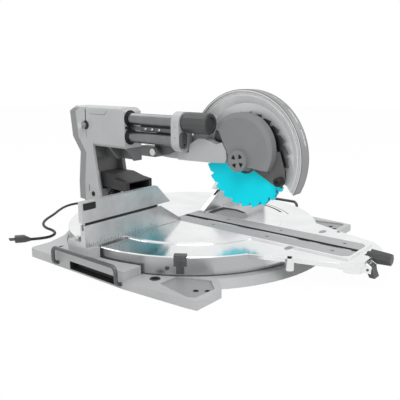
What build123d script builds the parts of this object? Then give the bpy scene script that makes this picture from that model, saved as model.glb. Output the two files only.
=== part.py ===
"""Slide compound mitre saw on its own cast base, modelled as separate pieces.

Millimetres, +Z up.  The origin is on the mitre pivot axis at the level the feet stand on,
+X is the operator's right and -Y points at the operator.  The blade plane is X = 0, the
fence face is Y = 0 and the table top is at table_height.
"""
import os
from math import asin, atan2, cos, degrees, pi, radians, sin, tan

from build123d import *

os.makedirs("parts", exist_ok=True)

# Fits and clearances
turn_gap = 0.3  # between faces of pieces that turn or slide past each other
running_fit = 0.05  # radial play of a shaft that turns or slides in its bore
seat_fit = 0.02  # radial play of a piece that is pressed or screwed into its bore

# Table rim, which the base, the fences and the rods follow
table_radius = 306.0
track_inset = 36.0
track_width = 12.0
track_inner = table_radius - track_inset
track_outer = track_inner + track_width

# Base casting
wing_reach = 34.0
ring_reach = 31.0
ring_inside = 8.0
base_half_width = table_radius + wing_reach
base_front = -282.0
base_rear = 205.0
base_ring_radius = table_radius + ring_reach
base_ring_inner = track_inner - ring_inside
base_ring_height = 16.0
base_ring_flare = 15.0
base_hub_radius = 40.0
base_hub_top = 30.0
base_rib_width = 12.0
base_rib_height = 14.0
foot_height = 17.0
foot_panel_depth = 3.0
rear_plate_height = 20.0
wing_height = 36.0
wing_half_length = 112.0
wing_width = 46.0
hand_gap_rear = 57.0
hand_gap_front = -88.0
hand_gap_bottom = 3.0
hand_gap_top = 21.0
hand_gap_depth = 20.0
bench_bolt_inset = 49.0
bench_bolt_x = base_half_width - bench_bolt_inset
bench_bolt_y = 148.0
bench_bolt_radius = 6.5

# Fences
fence_thickness = 14.0
fence_end = base_half_width
fence_toe = 42.0
fence_lower_height = 48.0
fence_lower_shoulder = 115.0
fence_seat_depth = 58.0
upper_fence_thickness = 12.0
upper_fence_height = 97.5
upper_fence_groove = 5.5
upper_fence_overhang = 4.0
upper_fence_end = fence_end + upper_fence_overhang
upper_fence_toe_left = 66.0
upper_fence_shoulder_left = 126.0
upper_fence_toe_right = 34.0
upper_fence_shoulder_right = 138.0
tongue_width = 6.0
tongue_depth = 11.0
clamp_x = 250.0
clamp_stud_radius = 4.0
clamp_knob_radius = 14.0
clamp_knob_length = 18.0

# Extension rods
rod_diameter = 8.0
rod_standoff = 12.0
rod_bar_x = base_half_width + rod_standoff
rod_rear_y = 98.0
rod_front_y = -102.0
rod_leg_height = 9.0
rod_bar_height = 47.0
rod_leg_length = 142.0

# Turntable
table_height = 60.0
table_raised_radius = 223.0
table_step = 3.0
deck_thickness = 8.0
skirt_wall = 6.0
skirt_bottom = 18.5
table_hub_radius = 34.0
pivot_radius = 8.0
pivot_head_radius = 13.0
pivot_head_height = 6.0
arm_thickness = 10.0
arm_front = 470.0
arm_belly_front = 462.0
notch_depth = 17.0
arm_belly_bottom = 28.0
arm_belly_half_width = 52.0
arm_belly_rear = 430.0
kerf_half_width = 52.0
kerf_depth = 4.0
kerf_front = 436.0
kerf_rear = 25.0
kerf_gap_half = 7.5
blade_slot_half = 14.0
blade_slot_front = 420.0
blade_slot_rear = 45.0
rear_notch_half = 100.0
rear_notch_inset = 22.0
bevel_boss_radius = 34.0
bevel_boss_start = 250.0
bevel_boss_end = 297.0
bevel_shaft_radius = 12.0
pointer_angle = -144.6
pointer_half_width = 13.0
pointer_tail_half_width = 8.0

# Blade, head pivot and travel
blade_radius = 108.0
blade_thickness = 2.6
blade_bore = 15.0
blade_teeth = 24
blade_phase = 4.5
tooth_depth = 10.0
blade_y = -162.6
blade_z = 220.7
head_pivot_y = 100.0
head_pivot_z = 218.0
head_pin_radius = 6.0
head_barrel_radius = 13.0

# Post, slide housing and rails
post_left = -58.0
post_right = 52.0
housing_right = 2.0
housing_front = 180.0
housing_top = 326.0
housing_rear = 374.0
housing_floor = 226.0
post_front = 283.0
post_rear = 347.0
post_back = 35.0  # the back stands this far behind the side faces
post_back_inset = 6.0
post_foot = 62.0
bevel_disc_radius = 36.0
rail_x = -36.0
rail_radius = 15.0
rail_bore = 11.0
rail_upper_z = 298.0
rail_spacing = 46.0
rail_front = -4.0
rail_rear = 372.0
slide_back = 15.0  # how far the rails move to the rear
bush_wall = 2.0
bush_length = 22.0
wiper_wall = 3.3
wiper_length = 6.0
lock_screw_y = 334.0
lock_screw_z = 275.0
lock_screw_radius = 5.0
slide_bar_half = 3.0
chute_front = 190.0
chute_bottom = 100.0
chute_top = 128.0
chute_half_width = 48.0
chute_wall = 3.0

# Front bracket, grip and latch
bracket_front = -9.0
bracket_rear = 16.0
bracket_radius = 25.0
web_thickness = 8.0
web_rear = 112.0
hinge_block_rear = 146.0
hinge_block_half = 13.0
grip_radius = 25.0
grip_end = -85.0
grip_stud_radius = 8.0
latch_x = -50.0
latch_z = 246.0

# Head castings and guards
guard_radius = 151.0
guard_shift_y = 7.0
guard_shift_z = 5.0
guard_dish = guard_radius - 13.5
guard_shelf = guard_radius - 30.0
guard_wall = 4.0
guard_left = -8.8
guard_right = 22.0
guard_wall_left = 9.0
guard_ridge = 1.5
guard_flange = 34.0
guard_front_angle = 208.0
guard_rear_angle = 5.0
lower_guard_cover = 3.3  # how far the guard stands past the blade's tips
lower_guard_wall = 2.0
lower_guard_rim = 2.5
lower_guard_half = 6.3
lower_guard_front_angle = 210.0
lower_guard_rear_angle = 351.0
arbor_boss_radius = 30.0
cover_left = -32.0
cover_right = -9.2
cover_wall = 3.0
hub_cap_left = -41.0
link_plate_thickness = 2.0
bumper_y = -257.6
bumper_z = 182.3
bumper_radius = 10.0

# Drive
gear_module = 1.5
pinion_teeth = 12
wheel_teeth = 54
gear_backlash = 0.3
gear_angle = 30.0
gear_left = 44.0
gear_right = 56.0
gear_case_left = 40.0
gear_case_right = 62.0
arbor_radius = 10.0
flange_radius = 25.0
motor_radius = 42.0
motor_wall = 4.0
motor_end = 140.0
end_cap_length = 10.0
armature_shaft_radius = 6.0

# Handle
handle_left = 63.0
handle_right = 87.0
handle_front = -150.0
handle_rear = -60.0
handle_top = 338.0
handle_bar = 22.0
handle_leg = 16.0

# Supply cord
cord_radius = 3.6
gland_angle = 78.0


def rod_x(x_start, x_end, spots, radius, mode=Mode.ADD):
    """Round bars parallel to X through (y, z) spots."""
    with BuildSketch(Plane.YZ.offset(x_start)) as section:
        with Locations(*spots):
            Circle(radius)
    extrude(section.sketch, amount=x_end - x_start, mode=mode)


def rod_y(y_start, y_end, spots, radius, mode=Mode.ADD):
    """Round bars parallel to Y through (x, z) spots."""
    with BuildSketch(Plane.XZ.offset(-y_start)) as section:
        with Locations(*spots):
            Circle(radius)
    extrude(section.sketch, amount=y_start - y_end, mode=mode)


def rod_z(z_start, z_end, spots, radius, mode=Mode.ADD):
    """Round bars parallel to Z through (x, y) spots."""
    with BuildSketch(Plane.XY.offset(z_start)) as section:
        with Locations(*spots):
            Circle(radius)
    extrude(section.sketch, amount=z_end - z_start, mode=mode)


def slab_x(x_start, x_end, outline, mode=Mode.ADD):
    """A plate with a (y, z) outline, from x_start to x_end."""
    with BuildSketch(Plane.YZ.offset(x_start)) as section:
        with BuildLine():
            Polyline(*outline, close=True)
        make_face()
    extrude(section.sketch, amount=x_end - x_start, mode=mode)


def taper_x(x_start, x_end, start_outline, end_outline):
    """A ruled body between two (y, z) outlines with the same corners."""
    faces = []
    for x, outline in ((x_start, start_outline), (x_end, end_outline)):
        with BuildSketch(Plane.YZ.offset(x)) as section:
            with BuildLine():
                Polyline(*outline, close=True)
            make_face()
        faces.append(section.sketch.faces()[0])
    loft(faces, ruled=True)


def slab_y(y_start, y_end, outline, mode=Mode.ADD):
    """A plate with an (x, z) outline, from y_start to y_end."""
    with BuildSketch(Plane.XZ.offset(-y_start)) as section:
        with BuildLine():
            Polyline(*outline, close=True)
        make_face()
    extrude(section.sketch, amount=y_start - y_end, mode=mode)


def slab_z(z_start, z_end, outline, mode=Mode.ADD):
    """A plate with an (x, y) outline, from z_start to z_end."""
    with BuildSketch(Plane.XY.offset(z_start)) as section:
        with BuildLine():
            Polyline(*outline, close=True)
        make_face()
    extrude(section.sketch, amount=z_end - z_start, mode=mode)


def block(x_range, y_range, z_range, mode=Mode.ADD):
    """A box between two corners."""
    outline = [
        (x_range[0], y_range[0]),
        (x_range[1], y_range[0]),
        (x_range[1], y_range[1]),
        (x_range[0], y_range[1]),
    ]
    slab_z(z_range[0], z_range[1], outline, mode)


def mirrored_x(outline):
    """The same outline on the other side of X = 0, or of Y = 0 for a side view."""
    return [(-across, up) for across, up in reversed(outline)]


def turned_ring_x(corners, start_angle, end_angle, middle_spot):
    """Part of a ring turned from (x, radius) corners; angles run from +Y towards +Z."""
    turn = radians(start_angle)
    cut = Plane(origin=(0, *middle_spot), x_dir=(1, 0, 0), z_dir=(0, -sin(turn), cos(turn)))
    with BuildSketch(cut) as section:
        with BuildLine():
            Polyline(*corners, close=True)
        make_face()
    revolve(section.sketch, Axis((0, *middle_spot), (1, 0, 0)), end_angle - start_angle)


def ring_slab_x(x_start, x_end, inner, outer, start_angle, end_angle, mode=Mode.ADD,
                middle_spot=(blade_y, blade_z)):
    """Part of a ring round an axis along X; angles run from +Y towards +Z."""
    span = end_angle - start_angle
    middle = start_angle + span / 2

    def rim(radius, angle):
        turn = radians(angle)
        return (middle_spot[0] + radius * cos(turn), middle_spot[1] + radius * sin(turn))

    with BuildSketch(Plane.YZ.offset(x_start)) as section:
        with BuildLine():
            ThreePointArc(rim(outer, start_angle), rim(outer, middle), rim(outer, end_angle))
            Line(rim(outer, end_angle), rim(inner, end_angle))
            ThreePointArc(rim(inner, end_angle), rim(inner, middle), rim(inner, start_angle))
            Line(rim(inner, start_angle), rim(outer, start_angle))
        make_face()
    extrude(section.sketch, amount=x_end - x_start, mode=mode)


def save(piece, name):
    """Labels one finished piece and writes it as its own file."""
    piece.part.label = name
    export_step(piece.part, f"parts/{name}.step")


deck_top = table_height - table_step
deck_underside = deck_top - deck_thickness
arbor = (blade_y, blade_z)
head_pivot = (head_pivot_y, head_pivot_z)
rail_lower_z = rail_upper_z - rail_spacing
rail_spots = [(rail_x, rail_upper_z), (rail_x, rail_lower_z)]
sides = (-1, 1)

# Base casting: a flared ring under the table, a hub on ribs, and two wings with foot plates
fence_seat_inner = table_radius + 5.5
leg_spots = [(rod_rear_y, rod_leg_height), (rod_front_y, rod_leg_height)]
leg_inner_x = rod_bar_x - rod_leg_length
foot_outline = [
    (-base_half_width, -wing_half_length + 2),
    (-base_half_width + 12, base_front + 24),
    (-base_half_width + 16, base_front),
    (-base_half_width + 88, base_front),
    (-base_half_width + 130, base_front + 44),
    (-base_half_width + 100, -wing_half_length + 2),
]
panel_inset = [(37, 110), (21, 26), (29, 14), (82, 12), (112, 44), (88, 110)]
foot_panel = [(-base_half_width + x, base_front + y) for x, y in panel_inset]
foot_holes = [(-base_half_width + x, base_front + y) for x, y in ((58, 37.5), (71, 20))]
rear_outline = [
    (-base_half_width, wing_half_length - 2),
    (-base_half_width + 125, wing_half_length - 2),
    (-base_half_width + 125, base_rear + 25),
    (-base_half_width + 55, base_rear),
    (-base_half_width + 8, base_rear),
    (-base_half_width, base_rear - 8),
]
with BuildPart() as base_casting:
    with BuildSketch(Plane.XZ):
        with BuildLine():
            Polyline(
                (base_ring_inner, 0),
                (base_ring_radius, 0),
                (base_ring_radius - base_ring_flare, base_ring_height),
                (base_ring_inner, base_ring_height),
                close=True,
            )
        make_face()
    revolve(axis=Axis.Z)
    rod_z(4, base_hub_top, [(0, 0)], base_hub_radius)
    with BuildSketch(Plane.XY):
        with PolarLocations(0, 6, start_angle=30):
            with Locations(((base_ring_inner + base_hub_radius) / 2, 0)):
                Rectangle(base_ring_inner - base_hub_radius + 20, base_rib_width)
    extrude(amount=base_rib_height)
    for side in sides:
        flip = mirrored_x if side > 0 else list
        wing_x = sorted((side * base_half_width, side * (base_half_width - wing_width)))
        slab_z(0, foot_height, flip(foot_outline))
        slab_z(0, rear_plate_height, flip(rear_outline))
        block(wing_x, (-wing_half_length, wing_half_length), (0, wing_height))
        seat_x = sorted((side * fence_end, side * fence_seat_inner))
        block(seat_x, (-10, fence_seat_depth), (wing_height - 1, table_height))
    rod_z(base_ring_height, table_height + 1, [(0, 0)], table_radius + 5, Mode.SUBTRACT)
    for side in sides:
        flip = mirrored_x if side > 0 else list
        scoop = sorted((side * (base_half_width + 1), side * (base_half_width - hand_gap_depth)))
        block(scoop, (hand_gap_front, hand_gap_rear), (hand_gap_bottom, hand_gap_top),
              Mode.SUBTRACT)
        slab_z(foot_height - foot_panel_depth, foot_height + 1, flip(foot_panel), Mode.SUBTRACT)
        rod_z(-1, foot_height + 1, flip(foot_holes), 3.5, Mode.SUBTRACT)
        leg_x = sorted((side * (rod_bar_x + 1), side * (leg_inner_x - 10)))
        rod_x(leg_x[0], leg_x[1], leg_spots, rod_diameter / 2 + running_fit, Mode.SUBTRACT)
    bolt_spots = [(x * bench_bolt_x, y * bench_bolt_y) for x in sides for y in sides]
    rod_z(-1, wing_height, bolt_spots, bench_bolt_radius, Mode.SUBTRACT)
    rod_z(0, base_hub_top + 1, [(0, 0)], pivot_radius + seat_fit, Mode.SUBTRACT)
    gland_plane = Plane(
        origin=(0, 0, cord_radius + 3.5),
        x_dir=(sin(radians(gland_angle)), -cos(radians(gland_angle)), 0),
        z_dir=(cos(radians(gland_angle)), sin(radians(gland_angle)), 0),
    )
    with BuildSketch(gland_plane.offset(base_ring_inner - 5)):
        Circle(6 + seat_fit)
    extrude(amount=base_ring_radius - base_ring_inner + 10, mode=Mode.SUBTRACT)
save(base_casting, "base_casting")

with BuildPart() as pivot_bolt:
    rod_z(3, deck_underside + 1, [(0, 0)], pivot_radius)
    rod_z(deck_underside + 1, deck_underside + 1 + pivot_head_height, [(0, 0)], pivot_head_radius)
save(pivot_bolt, "pivot_bolt")

with BuildPart() as pivot_nut:
    with BuildSketch(Plane.XY.offset(0.5)):
        RegularPolygon(13, 6)
        Circle(pivot_radius + seat_fit, mode=Mode.SUBTRACT)
    extrude(amount=3.5)
save(pivot_nut, "pivot_nut")

# Lower fences: straight plates on the wing seats, with a groove along the top
fence_foot = table_height + turn_gap
fence_top = table_height + fence_lower_height
groove_floor = fence_top - tongue_depth - turn_gap
groove_middle = 1 + upper_fence_thickness / 2
groove_side = tongue_width / 2 + turn_gap / 2
fence_bolt_spots = [(side * (fence_end - 12), 40.0) for side in sides]
for side, name in zip(sides, ("fence_left", "fence_right")):
    profile = [
        (side * fence_end, fence_foot),
        (side * fence_toe, fence_foot),
        (side * (fence_toe + 4), fence_foot + 4),
        (side * fence_lower_shoulder, fence_top),
        (side * fence_end, fence_top),
    ]
    seat_x = sorted((side * fence_end, side * (fence_seat_inner + 1)))
    groove_x = sorted((side * (fence_end + 1), side * (fence_toe - 1)))
    with BuildPart() as fence:
        slab_y(0, fence_thickness, profile)
        block(seat_x, (0, fence_seat_depth), (table_height, table_height + 10))
        block(
            groove_x,
            (groove_middle - groove_side, groove_middle + groove_side),
            (groove_floor, fence_top + 1),
            Mode.SUBTRACT,
        )
        clamp_spot = (side * clamp_x, groove_floor + tongue_depth / 2 + turn_gap)
        rod_y(groove_middle, fence_thickness + 1, [clamp_spot], clamp_stud_radius + running_fit,
              Mode.SUBTRACT)
        bolt_spot = (side * (fence_end - 12), 40.0)
        rod_z(table_height - 1, table_height + 11, [bolt_spot], 4 + seat_fit, Mode.SUBTRACT)
    save(fence, name)

with BuildPart() as fence_bolts:
    rod_z(table_height, table_height + 12, fence_bolt_spots, 4)
    with BuildSketch(Plane.XY.offset(table_height + 10)):
        with Locations(*fence_bolt_spots):
            RegularPolygon(7.5, 6)
    extrude(amount=6)
save(fence_bolts, "fence_bolts")

# Upper fences slide outwards on a tongue that runs in the lower fence's groove
upper_foot = fence_top + upper_fence_groove
upper_top = table_height + upper_fence_height
upper_toes = (upper_fence_toe_left, upper_fence_toe_right)
upper_shoulders = (upper_fence_shoulder_left, upper_fence_shoulder_right)
upper_names = ("upper_fence_left", "upper_fence_right")
for side, toe, shoulder, name in zip(sides, upper_toes, upper_shoulders, upper_names):
    rise = (shoulder - toe) * (upper_foot - fence_top + upper_fence_groove) / upper_fence_height
    profile = [
        (side * upper_fence_end, upper_foot),
        (side * (fence_lower_shoulder + 8), upper_foot),
        (side * max(toe + rise, shoulder - (upper_top - upper_foot)), upper_foot),
        (side * shoulder, upper_top),
        (side * upper_fence_end, upper_top),
    ]
    tongue_x = sorted((side * (upper_fence_end - 8), side * (fence_lower_shoulder + 12)))
    with BuildPart() as upper_fence:
        slab_y(1, 1 + upper_fence_thickness, profile)
        block(
            tongue_x,
            (groove_middle - tongue_width / 2, groove_middle + tongue_width / 2),
            (groove_floor + turn_gap, upper_foot),
        )
    save(upper_fence, name)

clamp_names = ("fence_clamp_left", "fence_clamp_right")
for side, name in zip(sides, clamp_names):
    clamp_spot = (side * clamp_x, groove_floor + tongue_depth / 2 + turn_gap)
    stud_start = groove_middle + tongue_width / 2 + turn_gap
    knob_start = fence_thickness + 2
    with BuildPart() as clamp:
        rod_y(stud_start, knob_start + 4, [clamp_spot], clamp_stud_radius)
        with BuildSketch(Plane.XZ.offset(-knob_start)):
            with Locations(clamp_spot):
                Circle(clamp_knob_radius)
                with PolarLocations(clamp_knob_radius + 2, 6):
                    Circle(5, mode=Mode.SUBTRACT)
        extrude(amount=-clamp_knob_length)
    save(clamp, name)

# Extension rods: bent round bar, two legs in the base and a raised bar outside the wing
bend_radius = 12.0
for side, name in zip(sides, ("extension_rod_left", "extension_rod_right")):
    start = (side * leg_inner_x, rod_rear_y, rod_leg_height)
    with BuildPart() as extension_rod:
        with BuildLine():
            FilletPolyline(
                start,
                (side * rod_bar_x, rod_rear_y, rod_leg_height),
                (side * rod_bar_x, rod_rear_y, rod_bar_height),
                (side * rod_bar_x, rod_front_y, rod_bar_height),
                (side * rod_bar_x, rod_front_y, rod_leg_height),
                (side * leg_inner_x, rod_front_y, rod_leg_height),
                radius=bend_radius,
            )
        with BuildSketch(Plane(origin=start, x_dir=(0, 1, 0), z_dir=(side, 0, 0))):
            Circle(rod_diameter / 2)
        sweep()
    save(extension_rod, name)

# Turntable casting: raised disc, skirt, running track, hub, front arm and rear bevel boss
arm_half = [
    (150, -262), (115, -347), (98, -402), (85, -437), (62, -460), (46, -arm_front),
]
arm_outline = [(-x, y) for x, y in arm_half] + list(reversed(arm_half))
belly_half = [
    (arm_belly_half_width, -arm_belly_rear), (arm_belly_half_width, -arm_belly_front + 14),
    (arm_belly_half_width - 12, -arm_belly_front),
]
belly_outline = [(-x, y) for x, y in belly_half] + list(reversed(belly_half))
lug_spots = [(side * 112, -344) for side in sides]
kerf_screw_spots = [(side * 30, y) for side in sides for y in (-90, -240, -395)]
kerf_floor = table_height - kerf_depth
mitre_grip_spot = (10.0, 52.0)
mitre_grip_radius = 15.0
mitre_grip_length = 50.0
detent_pin = (-arm_belly_front - 12, 39.0)
notch_rear = -arm_front + notch_depth
lug_faces = [(-39.0, -35.5), (-12.5, -9.0)]
with BuildPart() as turntable_casting:
    with BuildSketch(Plane.XZ):
        with BuildLine():
            Polyline(
                (pivot_radius + running_fit, base_hub_top + turn_gap),
                (table_hub_radius, base_hub_top + turn_gap),
                (table_hub_radius, deck_underside),
                (track_inner, deck_underside),
                (track_inner, base_ring_height + turn_gap),
                (track_outer, base_ring_height + turn_gap),
                (track_outer, deck_underside),
                (table_radius - skirt_wall, deck_underside),
                (table_radius - skirt_wall, skirt_bottom),
                (table_radius, skirt_bottom),
                (table_radius, deck_top - 2),
                (table_radius - 2, deck_top),
                (table_raised_radius + 1, deck_top),
                (table_raised_radius, table_height),
                (pivot_radius + running_fit, table_height),
                close=True,
            )
        make_face()
    revolve(axis=Axis.Z)
    block(
        (-rear_notch_half, rear_notch_half),
        (bevel_boss_start + rear_notch_inset, table_radius + 5),
        (0, table_height + 5),
        Mode.SUBTRACT,
    )
    slab_z(deck_top - arm_thickness, deck_top, arm_outline)
    block((-58, 58), (-kerf_front - 6, -table_raised_radius + 20), (deck_top - 1, table_height))
    slab_z(arm_belly_bottom, deck_top, belly_outline)
    for side in sides:
        rib_x = sorted((side * 38, side * 46))
        block(rib_x, (-arm_belly_rear - 2, -table_radius + 9), (30, deck_top - 2))
    rod_z(30, deck_top - 2, lug_spots, 9)
    for lug in lug_faces:
        slab_x(lug[0], lug[1], [
            (-arm_belly_front + 1, 32), (detent_pin[0] - 7, 32), (detent_pin[0] - 7, 45),
            (-arm_front, 52), (-arm_belly_front + 1, 52),
        ])
    rod_y(bevel_boss_start, bevel_boss_end, [(0, table_height)], bevel_boss_radius)
    with BuildSketch(Plane.XY.offset(kerf_floor)):
        with BuildLine():
            Polyline(
                (-kerf_half_width, kerf_rear),
                (-kerf_half_width, -kerf_front + 12),
                (-kerf_half_width + 12, -kerf_front),
                (kerf_half_width - 12, -kerf_front),
                (kerf_half_width, -kerf_front + 12),
                (kerf_half_width, kerf_rear),
                close=True,
            )
        make_face()
    extrude(amount=kerf_depth + 1, mode=Mode.SUBTRACT)
    block(
        (-blade_slot_half, blade_slot_half),
        (-blade_slot_front, -blade_slot_rear),
        (40, table_height),
        Mode.SUBTRACT,
    )
    rod_z(deck_underside + 1, table_height, [(0, 0)], pivot_head_radius + 1, Mode.SUBTRACT)
    rod_z(25, table_height, lug_spots, 5.5, Mode.SUBTRACT)
    rod_z(deck_underside + 2, table_height, kerf_screw_spots, 2 + seat_fit, Mode.SUBTRACT)
    rod_y(bevel_boss_start - 1, bevel_boss_end + 1, [(0, table_height)],
          bevel_shaft_radius + seat_fit, Mode.SUBTRACT)
    block(
        (mitre_grip_spot[0] - mitre_grip_radius - 3, mitre_grip_spot[0] + mitre_grip_radius + 3),
        (-arm_front - 1, notch_rear),
        (mitre_grip_spot[1] - mitre_grip_radius - 2, table_height + 1),
        Mode.SUBTRACT,
    )
    rod_y(notch_rear - 1, notch_rear + 15, [mitre_grip_spot], 4 + running_fit, Mode.SUBTRACT)
    rod_x(-45, -3, [detent_pin], 2.5 + seat_fit, Mode.SUBTRACT)
save(turntable_casting, "turntable_casting")

with BuildPart() as kerf_boards:
    for side in sides:
        outline = [
            (side * kerf_gap_half, kerf_rear - 0.5),
            (side * (kerf_half_width - 0.3), kerf_rear - 0.5),
            (side * (kerf_half_width - 0.3), -kerf_front + 13),
            (side * (kerf_half_width - 13), -kerf_front + 0.5),
            (side * kerf_gap_half, -kerf_front + 0.5),
        ]
        slab_z(kerf_floor, table_height, outline)
    rod_z(kerf_floor - 1, table_height + 1, kerf_screw_spots, 2 + seat_fit, Mode.SUBTRACT)
    rod_z(table_height - 2.4, table_height + 1, kerf_screw_spots, 4 + seat_fit, Mode.SUBTRACT)
save(kerf_boards, "kerf_boards")

with BuildPart() as kerf_screws:
    rod_z(deck_underside + 3, table_height - 2.4, kerf_screw_spots, 2)
    rod_z(table_height - 2.4, table_height - 0.3, kerf_screw_spots, 4)
save(kerf_screws, "kerf_screws")

pointer_turn = radians(pointer_angle)
pointer_plane = Plane(
    origin=(0, 0, 0),
    x_dir=(cos(pointer_turn), sin(pointer_turn), 0),
    z_dir=(sin(pointer_turn), -cos(pointer_turn), 0),
)
pointer_in = table_radius + running_fit
with BuildPart() as rim_pointer:
    with BuildSketch(pointer_plane):
        with BuildLine():
            Polyline(
                (pointer_in, 38),
                (pointer_in + 3, 38),
                (pointer_in + 3, deck_top + 3),
                (pointer_in - 14, deck_top + 3),
                (pointer_in - 14, deck_top + running_fit),
                (pointer_in, deck_top + running_fit),
                close=True,
            )
        make_face()
    extrude(amount=pointer_half_width, both=True)
    with BuildSketch(pointer_plane):
        with Locations((pointer_in + 1.5, 30.5)):
            Rectangle(3, 17)
    extrude(amount=pointer_tail_half_width, both=True)
save(rim_pointer, "rim_pointer")

pointer_face = Plane(
    origin=((pointer_in + 3) * cos(pointer_turn), (pointer_in + 3) * sin(pointer_turn), 44),
    x_dir=(-sin(pointer_turn), cos(pointer_turn), 0),
    z_dir=(cos(pointer_turn), sin(pointer_turn), 0),
)
with BuildPart() as pointer_screw:
    with BuildSketch(pointer_face):
        Circle(3.5)
    extrude(amount=2)
    with BuildSketch(pointer_face.offset(2)):
        Rectangle(5.5, 0.9)
    extrude(amount=-0.8, mode=Mode.SUBTRACT)
save(pointer_screw, "pointer_screw")

# Mitre lock grip on the arm's end, and the detent lever hanging beside it
with BuildPart() as mitre_grip:
    rod_y(notch_rear - 4, notch_rear + 14, [mitre_grip_spot], 4)
    with BuildSketch(Plane.XZ.offset(-notch_rear + turn_gap)):
        with Locations(mitre_grip_spot):
            Circle(mitre_grip_radius - 6)
    extrude(amount=8)
    with BuildSketch(Plane.XZ.offset(-notch_rear + 8)):
        with Locations(mitre_grip_spot):
            RegularPolygon(mitre_grip_radius, 8)
    extrude(amount=mitre_grip_length - 8, taper=3)
    fillet(mitre_grip.faces().sort_by(Axis.Y)[0].edges(), 3)
save(mitre_grip, "mitre_grip")

detent_outline = [
    (-7, 5), (4, 5), (3.5, -4), (-3, -16), (-14, -16), (-9, -4),
]
with BuildPart() as detent_lever:
    slab_x(
        lug_faces[0][1] + turn_gap,
        lug_faces[1][0] - turn_gap,
        [(detent_pin[0] + y, detent_pin[1] + z) for y, z in detent_outline],
    )
    rod_x(-37, -11, [detent_pin], 2.5 + running_fit * 2, Mode.SUBTRACT)
save(detent_lever, "detent_lever")

with BuildPart() as detent_pivot:
    rod_x(-40, -8, [detent_pin], 2.5)
save(detent_pivot, "detent_pivot")

with BuildPart() as bevel_shaft:
    rod_y(bevel_boss_start, post_rear + post_back + 8, [(0, table_height)], bevel_shaft_radius)
save(bevel_shaft, "bevel_shaft")

with BuildPart() as bevel_nut:
    with BuildSketch(Plane.XZ.offset(-post_rear - post_back - turn_gap)):
        with Locations((0, table_height)):
            RegularPolygon(20, 6)
            Circle(bevel_shaft_radius + seat_fit, mode=Mode.SUBTRACT)
    extrude(amount=-9)
save(bevel_nut, "bevel_nut")

# Post and slide housing: one casting that leans with the bevel
housing_profile = [
    (housing_front, housing_floor),
    (housing_front, housing_top - 10),
    (housing_front + 12, housing_top),
    (housing_rear - 30, housing_top),
    (housing_rear, housing_top - 15),
    (housing_rear - 8, 240),
    (post_rear - 12, 198),
    (post_front + 22, 198),
    (post_front + 26, housing_floor),
]
post_profile = [
    (post_front, post_foot),
    (post_front + 22, 201),
    (post_front + 26, 240),
    (housing_rear - 8, 240),
    (post_rear - 12, 198),
    (post_rear, 110),
    (post_rear, post_foot),
]
housing_back = [
    (y + post_back, z) if 3 <= index <= 6 else (y, z)
    for index, (y, z) in enumerate(housing_profile)
]
post_back_profile = [
    (y + post_back, z) if index >= 3 else (y, z) for index, (y, z) in enumerate(post_profile)
]
back_left = post_left + post_back_inset
back_right = post_right - post_back_inset
back_rear = post_rear + post_back
side_profile = post_profile[:2] + post_profile[4:]
side_back = post_back_profile[:2] + post_back_profile[4:]
bore_end = rail_rear + slide_back + 1.5
bush_starts = [housing_front + 3, housing_front + 66]
bar_x = (rail_x - slide_bar_half, rail_x + slide_bar_half)
bar_room = rail_radius + wiper_wall + turn_gap
bar_z = (rail_lower_z + bar_room, rail_upper_z - bar_room)
stop_spot = (post_front + 32, post_foot + 22)
stop_radius = 7.0
gusset = [
    (post_left + 1, housing_floor + 1), (post_left + 34, 186),
    (housing_right, 186), (housing_right, housing_floor + 1),
]
with BuildPart() as post_casting:
    taper_x(post_left, back_left, housing_profile, housing_back)
    slab_x(back_left, housing_right, housing_back)
    fillet(
        post_casting.edges().filter_by(Axis.Y).filter_by_position(Axis.Z, housing_top - 1,
                                                                   housing_top + 1),
        9,
    )
    taper_x(post_left, back_left, post_profile, post_back_profile)
    slab_x(back_left, housing_right, post_back_profile)
    slab_x(housing_right, back_right, side_back)
    taper_x(back_right, post_right, side_back, side_profile)
    slab_y(housing_front, post_front + 30, gusset)
    rod_y(bevel_boss_end + turn_gap, back_rear, [(0, table_height)], bevel_disc_radius)
    block((-bevel_disc_radius, bevel_disc_radius), (bevel_boss_end + turn_gap, back_rear),
          (table_height, post_foot + 8))
    block((back_left + 12, back_right - 12), (post_rear + 8, back_rear + 1),
          (table_height + bevel_disc_radius + 6, 186), Mode.SUBTRACT)
    rod_y(post_front - 5, bevel_boss_end + turn_gap, [(0, table_height)],
          bevel_boss_radius + 2, Mode.SUBTRACT)
    block((post_left + 12, post_right - 12), (post_front - 5, post_front + 34),
          (chute_bottom - 1, 186), Mode.SUBTRACT)
    for pocket in ((6, 64), (72, 128)):
        block((post_left + 7, housing_right - 12),
              (housing_front + pocket[0], housing_front + pocket[1]), (150, 221), Mode.SUBTRACT)
    rod_y(housing_front - 1, bore_end, rail_spots, rail_radius + bush_wall + seat_fit,
          Mode.SUBTRACT)
    rod_y(post_front - 5, back_rear + 1, [(0, table_height)],
          bevel_shaft_radius + running_fit, Mode.SUBTRACT)
    block((bar_x[0] - turn_gap, bar_x[1] + turn_gap), (housing_front - 1, bore_end),
          (bar_z[0] - turn_gap, bar_z[1] + turn_gap), Mode.SUBTRACT)
    block((post_left - 1, rail_x), (lock_screw_y - 1, lock_screw_y + 1),
          (lock_screw_z, housing_top + 1), Mode.SUBTRACT)
    rod_x(post_left - 1, bar_x[0], [(lock_screw_y, lock_screw_z)],
          lock_screw_radius + running_fit, Mode.SUBTRACT)
    rod_x(post_left - 1, post_left + 8, [stop_spot], stop_radius + seat_fit, Mode.SUBTRACT)
    block((post_left - 1, post_left + 2), (stop_spot[0] + 15, stop_spot[0] + 18),
          (stop_spot[1] + 6, stop_spot[1] + 24), Mode.SUBTRACT)
save(post_casting, "post_casting")

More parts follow.
